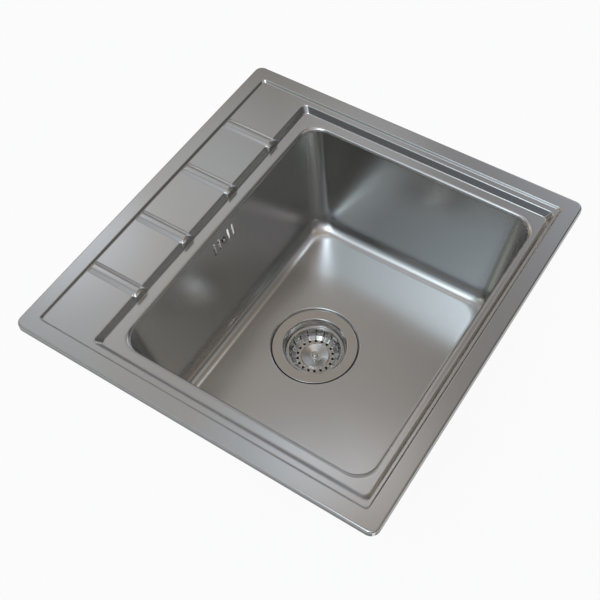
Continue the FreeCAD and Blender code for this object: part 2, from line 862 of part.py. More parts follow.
def new_waste_body(label):
    body = new_body(label)
    body.Placement = Placement(Vector(dim.waste_x.number, dim.waste_y.number, 0), Rotation())
    body.setExpression("Placement.Base.x", dim.waste_x.rule)
    body.setExpression("Placement.Base.y", dim.waste_y.rule)
    return body


def thickened(path, gauge):
    """Closes a path into a sheet of even gauge, which lies to the left of its direction."""
    path = [(as_size(x), as_size(z)) for x, z in path]
    outline = list(path)
    back = []
    for index, (x, z) in enumerate(path):
        before = path[max(index - 1, 0)]
        after = path[min(index + 1, len(path) - 1)]
        first = unit(before, (x, z)) if index else unit((x, z), after)
        second = unit((x, z), after) if index < len(path) - 1 else first
        spread_x = -(first[1] + second[1])
        spread_z = first[0] + second[0]
        lean = 1 + first[0] * second[0] + first[1] * second[1]
        back.append((x + gauge * (spread_x / lean), z + gauge * (spread_z / lean)))
    return outline + back[::-1]


def unit(start, end):
    run = end[0].number - start[0].number
    rise = end[1].number - start[1].number
    length = math.hypot(run, rise)
    return run / length, rise / length


def ring_outline(inner, outer, low, high):
    return [(inner, low), (outer, low), (outer, high), (inner, high)]


def turned_piece(label, outline):
    body = new_waste_body(label)
    profile = outline_sketch(body, "Profile", outline)
    turn(body, "Turned", profile)
    return body


def make_flange_cup():
    gauge = dim.cup_gauge
    seat = datum - dim.cup_seat_depth
    cup_floor = datum - dim.cup_depth
    bend = dim.cup_mouth_roll
    mouth = dim.cup_mouth_radius
    wall = dim.cup_radius
    path = [
        (dim.centre_screw_radius + dim.fit_clearance * 3, cup_floor),
        (wall - bend, cup_floor),
        (wall, cup_floor + bend),
        (wall, seat - dim.cup_step),
        (wall + dim.cup_step, seat),
        (dim.cup_seat_radius, seat),
        (dim.cup_seat_radius + dim.cup_step, seat + dim.cup_step),
        (mouth - gauge * 0.6, datum - bend),
        (mouth + gauge * 0.2, datum + gauge * 0.1),
        (mouth + gauge * 1.5, datum + gauge),
        (dim.flange_radius, datum + gauge),
    ]
    # The sheet lies to the right of this path, so the gauge is turned over.
    body = turned_piece("flange_cup", thickened(path, -gauge))
    drain = circle_sketch(
        body, "DrainHole", dim.cup_drain_circle, zero, dim.cup_drain_radius, cup_floor
    )
    hole = pocket(body, "DrainHolePocket", drain, gauge + dim.overrun)
    repeat_round(body, "DrainHoles", [hole], drain_count)
    return body


def make_flange_gasket():
    inner = dim.waste_hole_radius + dim.cup_step
    outer = dim.flange_radius - dim.cup_mouth_roll
    return turned_piece("flange_gasket", ring_outline(inner, outer, seat_level, datum))


def make_body_gasket():
    high = seat_level - dim.sheet_gauge
    low = high - dim.body_gasket
    inner = dim.waste_hole_radius
    return turned_piece("body_gasket", ring_outline(inner, dim.body_flange_radius, low, high))


body_top = seat_level - dim.sheet_gauge - dim.body_gasket
body_foot = datum - dim.body_depth - dim.body_flange_height
outlet_top = body_foot - dim.body_taper_depth
boss_top = datum - dim.boss_top_depth
inlet_level = datum - dim.inlet_depth


def make_waste_body():
    wall = dim.body_wall
    bore = dim.body_bore_radius
    taper_bore = dim.outlet_bore_radius + (bore - dim.outlet_bore_radius) * 0.55
    inside = [
        (bore, body_top),
        (bore - dim.body_waist, body_foot),
        (taper_bore, body_foot - dim.body_taper_depth * 0.55),
        (dim.outlet_bore_radius, outlet_top),
        (dim.outlet_bore_radius, outlet_top - dim.outlet_length),
    ]
    outside = [
        (dim.outlet_radius, outlet_top - dim.outlet_length),
        (dim.outlet_radius, outlet_top - wall * 0.4),
        (taper_bore + wall * 0.8, body_foot - dim.body_taper_depth * 0.55 - wall * 0.7),
        (bore - dim.body_waist + wall, body_foot - wall * 0.4),
        (bore + wall, body_top - dim.body_flange_height - wall),
        (dim.body_flange_radius - wall, body_top - dim.body_flange_height),
        (dim.body_flange_radius, body_top - dim.body_flange_height),
        (dim.body_flange_radius, body_top),
    ]
    body = turned_piece("waste_body", inside + outside)
    boss = circle_sketch(body, "BossTop", zero, zero, dim.boss_radius, boss_top)
    pad(body, "Boss", boss, dim.boss_height, upwards=False)
    web = outline_sketch(
        body, "WebOutline",
        [
            (zero, -dim.web_gauge / 2),
            (dim.web_reach, -dim.web_gauge / 2),
            (dim.web_reach, dim.web_gauge / 2),
            (zero, dim.web_gauge / 2),
        ],
        "XY_Plane", boss_top - dim.boss_height,
    )
    rib = pad(body, "Web", web, dim.web_height)
    repeat_round(body, "Webs", [rib], web_count)
    # The side inlet that the overflow's pipe pushes into.
    inlet = circle_sketch(
        body, "Inlet", zero, inlet_level, dim.spigot_radius, -dim.inlet_reach, "YZ_Plane"
    )
    pad(body, "InletPad", inlet, dim.inlet_reach - bore)
    socket = circle_sketch(
        body, "InletSocket", zero, inlet_level, dim.pipe_radius + dim.fit_clearance * 3,
        -dim.inlet_reach, "YZ_Plane",
    )
    pocket(body, "InletSocketPocket", socket, dim.spigot_stop, upwards=True)
    passage = circle_sketch(
        body, "InletPassage", zero, inlet_level, dim.pipe_radius - dim.pipe_wall,
        -dim.inlet_reach, "YZ_Plane",
    )
    pocket(body, "InletPassagePocket", passage, dim.inlet_reach - bore / 2, upwards=True)
    seat = circle_sketch(
        body, "InsertSeat", zero, zero, dim.insert_radius + dim.fit_clearance, boss_top
    )
    pocket(body, "InsertSeatPocket", seat, dim.insert_height)
    bore_sketch = circle_sketch(
        body, "BossBore", zero, zero, dim.centre_screw_radius + dim.fit_clearance * 3, boss_top
    )
    pocket(body, "BossBorePocket", bore_sketch, dim.boss_height + dim.overrun)
    return body


def make_insert_nut():
    inner = dim.centre_screw_radius + dim.pin_clearance
    low = boss_top - dim.insert_height
    return turned_piece("insert_nut", ring_outline(inner, dim.insert_radius, low, boss_top))


def make_centre_screw():
    floor = datum - dim.cup_depth
    head_top = floor + dim.centre_screw_head_height
    socket = dim.centre_screw_socket_radius
    socket_foot = head_top - dim.centre_screw_socket_depth
    head = dim.centre_screw_head_radius
    outline = [
        (zero, socket_foot),
        (zero, floor - dim.centre_screw_length),
        (dim.centre_screw_radius - dim.cup_step, floor - dim.centre_screw_length),
        (dim.centre_screw_radius, floor - dim.centre_screw_length + dim.cup_step),
        (dim.centre_screw_radius, floor),
        (head, floor),
        (head, head_top - dim.cup_step),
        (head - dim.cup_step, head_top),
        (socket, head_top),
        (socket, socket_foot),
    ]
    body = turned_piece("centre_screw", outline)
    slot = outline_sketch(
        body, "HeadSlot",
        [
            (-head, -dim.clip_screw_slot),
            (head, -dim.clip_screw_slot),
            (head, dim.clip_screw_slot),
            (-head, dim.clip_screw_slot),
        ],
        "XY_Plane", head_top,
    )
    pocket(body, "HeadSlotPocket", slot, dim.centre_screw_head_height * screw_slot_share)
    return body


# Basket. Its own levels run down from its rim.

basket_top = datum - dim.cup_seat_depth + dim.basket_lift_off + dim.basket_gauge
basket_floor = basket_top - dim.basket_depth
disc_level = basket_floor + dim.basket_disc_rise
hub_top = datum - dim.seal_hub_depth
# The bowl of the basket as shares of its wall radius and of its depth.
basket_wall_shares = [(0.985, 0.22), (0.935, 0.56), (0.85, 0.84), (0.765, 0.98)]


def make_strainer_basket():
    wall = dim.basket_radius - dim.basket_rim_width
    gauge = dim.basket_gauge
    stem_hole = dim.stem_radius + dim.fit_clearance
    disc = dim.basket_disc_radius
    path = [
        (stem_hole, disc_level - dim.basket_dish),
        (disc * 0.35, disc_level - dim.basket_dish * 0.85),
        (disc - dim.basket_disc_rise * 0.4, disc_level),
        (disc + gauge * 0.4, disc_level - gauge * 0.5),
        (disc + dim.basket_disc_rise * 0.75, basket_floor),
    ]
    for radius_share, depth_share in basket_wall_shares[::-1]:
        path.append((wall * radius_share, basket_top - dim.basket_depth * depth_share))
    path += [
        (wall, basket_top - dim.basket_rim_width * 0.45),
        (wall + gauge * 0.5, basket_top),
        (dim.basket_radius, basket_top),
    ]
    body = turned_piece("strainer_basket", thickened(path, -gauge))
    above = basket_floor + dim.overrun
    hole = circle_sketch(
        body, "StrainerHole", dim.basket_hole_circle, zero, dim.basket_hole_radius, above
    )
    round_hole = pocket(body, "StrainerHolePocket", hole, dim.overrun * 2)
    half = dim.basket_slit_width / 2
    start = dim.basket_slit_circle - dim.basket_slit_length / 2
    end = dim.basket_slit_circle + dim.basket_slit_length / 2
    slit_outline = [(start, -half), (end, -half), (end, half), (start, half)]
    slit = outline_sketch(body, "StrainerSlit", slit_outline, "XY_Plane", basket_top)
    slot = pocket(body, "StrainerSlitPocket", slit, dim.basket_depth)
    repeat_round(body, "StrainerOpenings", [round_hole, slot], basket_hole_count)
    return body


def make_basket_stem():
    tip_low = datum - dim.stem_tip_depth
    shank = dim.stem_radius
    tip = dim.stem_tip_radius
    seat = disc_level - dim.basket_dish + dim.fit_clearance * 2
    knob_low = disc_level + dim.fit_clearance
    knob_top = seat + dim.knob_height
    groove_top = hub_top - dim.seal_hub_height - dim.fit_clearance
    groove_low = groove_top - dim.retainer_gauge
    groove = shank - dim.stem_groove
    outline = [
        (zero, tip_low),
        (tip * 0.6, tip_low),
        (tip, tip_low + tip * 0.5),
        (tip, tip_low + tip * 1.5),
        (shank, tip_low + tip * 2),
        (shank, groove_low - dim.fit_clearance),
        (groove, groove_low - dim.fit_clearance),
        (groove, groove_top + dim.fit_clearance),
        (shank, groove_top + dim.fit_clearance),
        (shank, seat),
        (dim.knob_foot_radius, seat),
        (dim.knob_foot_radius, knob_low),
        (dim.knob_waist_radius, knob_low + dim.knob_height * 0.2),
        (dim.knob_waist_radius, knob_low + dim.knob_height * 0.35),
        (dim.knob_radius, knob_top - dim.knob_height * 0.35),
        (dim.knob_radius, knob_top - dim.knob_height * 0.12),
        (dim.knob_radius * 0.8, knob_top),
        (zero, knob_top),
    ]
    return turned_piece("basket_stem", outline)


def make_seal_spacer():
    inner = dim.stem_radius + dim.fit_clearance
    high = disc_level - dim.basket_dish - dim.basket_gauge * 1.4
    return turned_piece("seal_spacer", ring_outline(inner, dim.spacer_radius, hub_top, high))


def make_basket_seal():
    inner = dim.stem_radius + dim.fit_clearance
    cup_floor = datum - dim.cup_depth
    hub_low = hub_top - dim.seal_hub_height
    lip_low = cup_floor + dim.seal_clearance
    outline = [
        (inner, hub_low),
        (dim.seal_hub_radius, hub_low),
        (dim.seal_radius - dim.seal_lip, lip_low),
        (dim.seal_radius, lip_low),
        (dim.seal_radius, lip_low + dim.seal_lip),
        (dim.seal_hub_radius + dim.seal_lip, hub_top),
        (inner, hub_top),
    ]
    return turned_piece("basket_seal", outline)


def make_stem_retainer():
    inner = dim.stem_radius - dim.stem_groove + dim.fit_clearance
    high = hub_top - dim.seal_hub_height - dim.fit_clearance
    low = high - dim.retainer_gauge
    body = turned_piece("stem_retainer", ring_outline(inner, dim.retainer_radius, low, high))
    half = inner * 0.9
    mouth = [
        (zero, -half),
        (dim.retainer_radius + dim.fit_clearance, -half),
        (dim.retainer_radius + dim.fit_clearance, half),
        (zero, half),
    ]
    gap = outline_sketch(body, "RetainerMouth", mouth, "XY_Plane", high)
    pocket(body, "RetainerMouthPocket", gap, dim.retainer_gauge * 2)
    return body


# Overflow. Its front faces lean with the bowl's left wall.

def wall_outer_x(level):
    return left_wall_x(level + dim.sheet_gauge) - dim.sheet_gauge


flange_high = overflow_level + dim.housing_height / 2
flange_low = overflow_level - dim.housing_height / 2
box_high = flange_high - dim.housing_rim
box_low = flange_low + dim.housing_rim
spigot_low = box_low - dim.spigot_length
pipe_x = wall_outer_x(overflow_level) - dim.pipe_set_back


def leaning(shift, low, high, thick):
    """Four corners of a strip that leans with the wall, its front set back by shift."""
    return [
        (wall_outer_x(high) - shift, high),
        (wall_outer_x(high) - shift - thick, high),
        (wall_outer_x(low) - shift - thick, low),
        (wall_outer_x(low) - shift, low),
    ]


def make_overflow_gasket():
    body = new_body("overflow_gasket")
    slant = leaning(dim.fit_clearance, flange_low, flange_high, dim.overflow_gasket_gauge)
    strip = outline_sketch(body, "GasketStrip", slant, height=-dim.overflow_y)
    pad(body, "GasketPad", strip, dim.housing_length, midplane=True)
    add_cavity(body, "GasketWindow", dim.overflow_gasket_border, dim.housing_depth * 2)
    return body


def add_cavity(body, name, border, depth):
    middle = wall_outer_x(overflow_level)
    box = (
        dim.overflow_y - dim.housing_length / 2 + border,
        dim.overflow_y + dim.housing_length / 2 - border,
        flange_low + border,
        flange_high - border,
    )
    window = box_sketch(body, name, box, border / 2, middle, "YZ_Plane")
    return pocket(body, name + "Pocket", window, depth, midplane=True)


def make_overflow_housing():
    body = new_body("overflow_housing")
    front = dim.overflow_gasket_gauge + dim.fit_clearance * 2
    slant = leaning(front, flange_low, flange_high, dim.housing_wall)
    plate = outline_sketch(body, "FlangeStrip", slant, height=-dim.overflow_y)
    pad(body, "FlangePad", plate, dim.housing_length, midplane=True)
    back = wall_outer_x(overflow_level) - front - dim.housing_depth
    sides = [
        (wall_outer_x(box_high) - front, box_high),
        (back, box_high),
        (back, box_low),
        (wall_outer_x(box_low) - front, box_low),
    ]
    case = outline_sketch(body, "CaseSide", sides, height=-dim.overflow_y)
    pad(body, "CasePad", case, dim.housing_length - dim.housing_rim * 2, midplane=True)
    spigot = circle_sketch(body, "Spigot", pipe_x, zero, dim.spigot_radius, box_low)
    pad(body, "SpigotPad", spigot, dim.spigot_length, upwards=False)
    wall = dim.housing_wall
    # The hollow stops a wall short of the back.
    hollow = [
        (wall_outer_x(box_high - wall) - front + wall, box_high - wall),
        (back + wall, box_high - wall),
        (back + wall, box_low + wall),
        (wall_outer_x(box_low + wall) - front + wall, box_low + wall),
    ]
    inside = outline_sketch(body, "CaseHollow", hollow, height=-dim.overflow_y)
    width = dim.housing_length - dim.housing_rim * 2 - wall * 2
    pocket(body, "CaseHollowPocket", inside, width, midplane=True)
    boss_role = "YZ_Plane"
    boss = circle_sketch(
        body, "ScrewBoss", dim.overflow_y, overflow_level, dim.housing_boss_radius,
        back + wall / 2, boss_role,
    )
    pad(body, "ScrewBossPad", boss, dim.housing_depth - wall / 2)
    thread = circle_sketch(
        body, "ScrewThread", dim.overflow_y, overflow_level,
        dim.overflow_screw_radius + dim.fit_clearance, back + wall, boss_role,
    )
    pocket(body, "ScrewThreadPocket", thread, dim.housing_depth, upwards=True)
    socket = circle_sketch(
        body, "SpigotSocket", pipe_x, zero, dim.pipe_radius + dim.fit_clearance * 3, spigot_low
    )
    pocket(body, "SpigotSocketPocket", socket, dim.spigot_stop, upwards=True)
    passage = circle_sketch(
        body, "SpigotPassage", pipe_x, zero, dim.pipe_radius - dim.pipe_wall, spigot_low
    )
    pocket(body, "SpigotPassagePocket", passage, dim.spigot_length + wall * 1.5, upwards=True)
    return body


def make_overflow_screw():
    body = new_body("overflow_screw")
    under_head = left_wall_x(overflow_level) + dim.overflow_head_standoff
    centre = (dim.overflow_y, overflow_level)
    head = circle_sketch(body, "Head", *centre, dim.overflow_head_radius, under_head, "YZ_Plane")
    pad(body, "HeadPad", head, dim.overflow_head_height)
    shank = circle_sketch(
        body, "Shank", *centre, dim.overflow_screw_radius, under_head, "YZ_Plane"
    )
    pad(body, "ShankPad", shank, dim.overflow_screw_length, upwards=False)
    half = dim.clip_screw_slot / 2
    radius = dim.overflow_head_radius
    y = dim.overflow_y
    slot = [
        (y - radius, overflow_level - half),
        (y + radius, overflow_level - half),
        (y + radius, overflow_level + half),
        (y - radius, overflow_level + half),
    ]
    face = under_head + dim.overflow_head_height
    groove = outline_sketch(body, "HeadSlot", slot, "YZ_Plane", face)
    pocket(body, "HeadSlotPocket", groove, dim.overflow_head_height * screw_slot_share)
    return body


def make_overflow_pipe():
    body = new_body("overflow_pipe")
    bend = dim.pipe_bend
    top = spigot_low + dim.pipe_insert
    end_x = dim.waste_x - dim.inlet_reach + dim.pipe_insert
    x = pipe_x
    spine = start_sketch(body, "PipeSpine", "XZ_Plane")
    points = [(x, top), (x, inlet_level + bend), (x + bend, inlet_level), (end_x, inlet_level)]
    flat = [Vector(a.number, b.number, 0) for a, b in points]
    spine.addGeometry([Part.LineSegment(flat[0], flat[1]), Part.LineSegment(flat[2], flat[3])], False)
    centre = Vector((x + bend).number, (inlet_level + bend).number, 0)
    circle = Part.Circle(centre, Vector(0, 0, 1), bend.number)
    spine.addGeometry(Part.ArcOfCircle(circle, math.pi, math.pi * 1.5), False)
    spine.addConstraint(Sketcher.Constraint("Vertical", 0))
    spine.addConstraint(Sketcher.Constraint("Horizontal", 1))
    spine.addConstraint(Sketcher.Constraint("Tangent", 0, 2, 2, 1))
    spine.addConstraint(Sketcher.Constraint("Tangent", 2, 2, 1, 1))
    drive(spine, "Radius", (2,), bend)
    lock_point(spine, 0, 1, x, top)
    lock_point(spine, 1, 2, end_x, inlet_level)
    ring = circle_sketch(body, "PipeSection", x, zero, dim.pipe_radius, top)
    add_circle(ring, x, zero, dim.pipe_radius - dim.pipe_wall)
    pipe = body.newObject("PartDesign::AdditivePipe", "PipeSweep")
    pipe.Profile = ring
    pipe.Spine = spine
    return body


# Both ends of the overflow pipe are held the same way: axis plane, centre on that plane,
# the level of the spigot's end, and whether the pipe leaves towards lower coordinates.
joint_end_x = dim.waste_x - dim.inlet_reach
pipe_ends = [
    ("Upper", "XY_Plane", pipe_x, zero, spigot_low),
    ("Lower", "YZ_Plane", zero, inlet_level, joint_end_x),
]


def make_pipe_nuts():
    body = new_body("pipe_nuts")
    body.AllowCompound = True
    cap = dim.nut_cap
    for name, role, a, b, end in pipe_ends:
        low = end - dim.cone_seal_height - dim.fit_clearance * 3 - cap
        high = low + dim.nut_length
        outer = circle_sketch(body, name + "NutOutline", a, b, dim.nut_radius, low, role)
        pad(body, name + "Nut", outer, dim.nut_length)
        bore = dim.spigot_radius + dim.nut_thread_clearance
        thread = circle_sketch(body, name + "NutThread", a, b, bore, high, role)
        pocket(body, name + "NutThreadPocket", thread, dim.nut_length - cap)
        hole = circle_sketch(
            body, name + "NutHole", a, b, dim.pipe_radius + dim.fit_clearance * 3, high, role
        )
        pocket(body, name + "NutHolePocket", hole, dim.nut_length + dim.overrun)
        grips = start_sketch(body, name + "NutGrips", role, high)
        for index in range(nut_lobe_count):
            turned = math.radians(360 * (index + 0.5) / nut_lobe_count)
            across = a + dim.nut_radius * math.cos(turned)
            along = b + dim.nut_radius * math.sin(turned)
            add_circle(grips, across, along, dim.nut_lobe_radius)
        pocket(body, name + "NutGripPocket", grips, dim.nut_length - cap)
    return body


def make_pipe_seals():
    body = new_body("pipe_seals")
    body.AllowCompound = True
    for name, role, a, b, end in pipe_ends:
        level = end - dim.fit_clearance * 1.5 - dim.cone_seal_height
        ring = circle_sketch(body, name + "Ring", a, b, dim.spigot_radius, level, role)
        add_circle(ring, a, b, dim.pipe_radius + dim.fit_clearance)
        pad(body, name + "RingPad", ring, dim.cone_seal_height)
    return body


pieces = [
    make_shell(),
    make_rim_seal(),
    make_damping_pad(),
    make_clip_brackets(),
    make_clip_pins(),
]
for number, place in enumerate(clip_places, 1):
    pieces.append(make_clip_claw("clip_claw_%d" % number, place))
    pieces.append(make_clip_screw("clip_screw_%d" % number, place))
pieces += [
    make_flange_cup(),
    make_flange_gasket(),
    make_body_gasket(),
    make_waste_body(),
    make_insert_nut(),
    make_centre_screw(),
    make_strainer_basket(),
    make_basket_stem(),
    make_seal_spacer(),
    make_basket_seal(),
    make_stem_retainer(),
    make_overflow_gasket(),
    make_overflow_housing(),
    make_overflow_screw(),
    make_overflow_pipe(),
    make_pipe_nuts(),
    make_pipe_seals(),
]
doc.recompute()

for item in doc.Objects:
    if "Invalid" in item.State or "Error" in item.State:
        raise RuntimeError("%s did not build: %s" % (item.Label, item.State))
for piece in pieces:
    if piece.Shape.isNull() or not piece.Shape.isValid():
        raise RuntimeError("%s has no valid shape" % piece.Label)

os.makedirs("parts", exist_ok=True)
for piece in pieces:
    piece.Shape.exportStep("parts/%s.step" % piece.Label)
    print("%s: %d solid(s)" % (piece.Label, len(piece.Shape.Solids)))
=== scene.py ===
import json
import math
import bmesh
import bpy
from mathutils import Matrix, Vector


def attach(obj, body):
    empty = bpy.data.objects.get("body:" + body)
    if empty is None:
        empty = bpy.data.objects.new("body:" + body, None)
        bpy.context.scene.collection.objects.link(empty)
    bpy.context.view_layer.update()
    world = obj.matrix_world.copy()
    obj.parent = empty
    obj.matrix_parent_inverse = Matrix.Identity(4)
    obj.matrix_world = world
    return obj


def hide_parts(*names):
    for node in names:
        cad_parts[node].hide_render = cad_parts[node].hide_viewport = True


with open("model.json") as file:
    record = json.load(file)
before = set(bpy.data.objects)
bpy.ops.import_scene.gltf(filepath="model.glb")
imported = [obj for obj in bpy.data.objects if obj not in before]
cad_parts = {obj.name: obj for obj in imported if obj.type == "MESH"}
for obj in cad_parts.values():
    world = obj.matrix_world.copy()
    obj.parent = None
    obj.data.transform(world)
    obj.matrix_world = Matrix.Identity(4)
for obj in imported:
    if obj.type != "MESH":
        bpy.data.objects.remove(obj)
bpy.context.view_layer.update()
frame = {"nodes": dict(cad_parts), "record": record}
nodes = frame["nodes"]
mm = 0.001
print("frame loaded with", len(nodes), "nodes")


# Shared helpers

def linearColour(hexText):
    channels = [int(hexText[i:i + 2], 16) / 255 for i in (0, 2, 4)]
    return [c / 12.92 if c <= 0.04045 else ((c + 0.055) / 1.055) ** 2.4 for c in channels] + [1.0]


def newMaterial(name):
    material = bpy.data.materials.new(name)
    material.use_nodes = True
    material.node_tree.nodes.clear()
    return material


def addNode(material, kind, settings=None, inputs=None):
    tree = material.node_tree
    node = tree.nodes.new(kind)
    for key, value in (settings or {}).items():
        setattr(node, key, value)
    for key, value in (inputs or {}).items():
        if isinstance(value, bpy.types.NodeSocket):
            tree.links.new(value, node.inputs[key])
        else:
            node.inputs[key].default_value = value
    return node


def faceUp(bm):
    # an open sheet shows its polished side upward, and the thickness goes below it
    if sum(f.normal.z * f.calc_area() for f in bm.faces) < 0:
        bmesh.ops.reverse_faces(bm, faces=bm.faces)


def finishPiece(bm, name, body, material, replaced=(), sharpAngle=40):
    for face in bm.faces:
        face.smooth = True
    for edge in bm.edges:
        if len(edge.link_faces) == 2:
            edge.smooth = edge.calc_face_angle(0) < math.radians(sharpAngle)
    mesh = bpy.data.meshes.new(name)
    bm.to_mesh(mesh)
    bm.free()
    piece = bpy.data.objects.new(name, mesh)
    bpy.context.scene.collection.objects.link(piece)
    mesh.materials.append(material)
    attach(piece, body)
    if replaced:
        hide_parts(*replaced)
    return piece


def roundedPath(corners, segments=6, guard=0.35):
    # corners are (inset, height, bend radius); bends become arcs with a short flat beside each
    path = [Vector(corners[0][:2])]
    for before, corner, after in zip(corners, corners[1:], corners[2:]):
        point = Vector(corner[:2])
        radius = corner[2]
        into = (point - Vector(before[:2])).normalized()
        away = (Vector(after[:2]) - point).normalized()
        turn = into.angle_signed(away)
        reach = radius * math.tan(abs(turn) / 2)
        start = point - into * reach
        side = Vector((into.y, -into.x)) if turn > 0 else Vector((-into.y, into.x))
        centre = start + side * radius
        path.append(start - into * guard)
        for step in range(segments + 1):
            swept = -turn * step / segments
            arm = start - centre
            path.append(centre + Vector((
                arm.x * math.cos(swept) - arm.y * math.sin(swept),
                arm.x * math.sin(swept) + arm.y * math.cos(swept))))
        path.append(point + away * (reach + guard))
    path.append(Vector(corners[-1][:2]))
    return path


# Pressed sink: every ring of the sheet is a rounded box with the same number of points

sink = {
    "gauge": 1.0,
    "rim": (-240.0, 240.0, -250.0, 250.0), "rimCorner": 11.0, "rimHeight": 8.0, "rimBend": 2.5,
    "tray": (-220.0, 220.0, -230.0, 230.0), "trayCorner": 5.0, "trayHeight": 5.5,
    "traySlope": 2.5, "trayBend": 1.5,
    "ledge": (-148.0, 215.0, -220.5, 220.5), "ledgeCorner": 7.0, "ledgeHeight": -2.5,
    "ledgeSlope": 6.0, "ledgeBend": 2.5,
    "bowl": (-125.0, 200.0, -200.0, 200.0), "bowlCorner": 26.0, "bowlFloor": -172.0,
    "bowlInset": 20.0, "bowlBead": 5.0, "floorBend": 21.0, "floorFall": 1.2,
    "waste": (5.0, 0.0), "recessRadius": 59.4, "recessSlope": 2.2, "recessDepth": 3.5,
    "recessBend": 1.8, "wasteHole": 44.0,
    "cornerSteps": 12, "sideSteps": 22,
    "ribY": (-138.0, -46.0, 46.0, 138.0), "ribWidth": 7.5, "ribTop": 8.0, "ribSlope": 4.8,
    "ribEnds": (-215.0, -144.5), "ribEndSlope": 2.0, "noseFlare": 1.0, "ribSoft": 1.1,
    "slotY": -4.5, "slotZ": -26.5, "slotPitch": 9.8, "slotWidth": 4.0, "slotHeight": 21.6,
    "screwHole": 2.75,
}


def leftSamples():
    # close together beside each rib, far apart between them
    places = set()
    for ribY in sink["ribY"]:
        places.update(ribY + 0.8 * step for step in range(-14, 15))
    low = -150.0
    while low <= 150.0:
        if min(abs(low - place) for place in places) > 3.0:
            places.add(low)
        low += 6.0
    places.update((-150.0, 150.0))
    return sorted(places, reverse=True)


leftPlaces = leftSamples()


def ringPoints(box, corner, height):
    left, right, front, back = box
    points = []
    steps = sink["cornerSteps"]
    sides = sink["sideSteps"]

    def addSide(start, end, fractions):
        points.extend((
            start[0] + (end[0] - start[0]) * f,
            start[1] + (end[1] - start[1]) * f) for f in fractions)

    def addCorner(x, y, firstAngle):
        for step in range(steps):
            angle = math.radians(firstAngle + 90 * step / steps)
            points.append((x + corner * math.cos(angle), y + corner * math.sin(angle)))

    even = [step / sides for step in range(sides)]
    addSide((left + corner, front), (right - corner, front), even)
    addCorner(right - corner, front + corner, -90)
    addSide((right, front + corner), (right, back - corner), even)
    addCorner(right - corner, back - corner, 0)
    addSide((right - corner, back), (left + corner, back), even)
    addCorner(left + corner, back - corner, 90)
    # below the ribs the straight side gets shorter, and its points close up with it
    high, low = back - corner, front + corner
    squeeze = min(1.0, (high - 6) / leftPlaces[0])
    places = [y * squeeze for y in leftPlaces]
    edges = [high + (places[0] - high) * f for f in (0.0, 0.34, 0.67)]
    points.extend((left, y) for y in edges + places)
    points.extend((left, places[-1] + (low - places[-1]) * f) for f in (0.33, 0.66))
    addCorner(left + corner, front + corner, 180)
    return [Vector((x * mm, y * mm, height * mm)) for x, y in points]


def shrunk(box, inset):
    return (box[0] + inset, box[1] - inset, box[2] + inset, box[3] - inset)


def mixed(a, b, share):
    return tuple(p + (q - p) * share for p, q in zip(a, b))


def smoothMin(a, b, soft):
    blend = max(soft - abs(a - b), 0.0) / soft
    return min(a, b) - blend * blend * soft / 4


def ribHeight(x, y):
    # height of the nearest raised rib over this place, in millimetres
    s = sink
    best = -999.0
    for ribY in s["ribY"]:
        away = abs(y - ribY)
        if away > 16:
            continue
        beyond = [away - s["ribWidth"] / 2, s["ribEnds"][0] - x, x - s["ribEnds"][1]]
        runs = [s["ribSlope"], s["ribEndSlope"], s["ribEndSlope"]]
        height = s["ribTop"]
        for distance, run in zip(beyond, runs):
            fall = s["ribTop"] - s["trayHeight"]
            steep = (s["trayHeight"] - s["ledgeHeight"]) / s["noseFlare"]
            side = s["ribTop"] - distance * fall / run
            if distance > run:
                side = s["trayHeight"] - (distance - run) * steep
            height = smoothMin(height, side, s["ribSoft"])
        best = max(best, height)
    return best


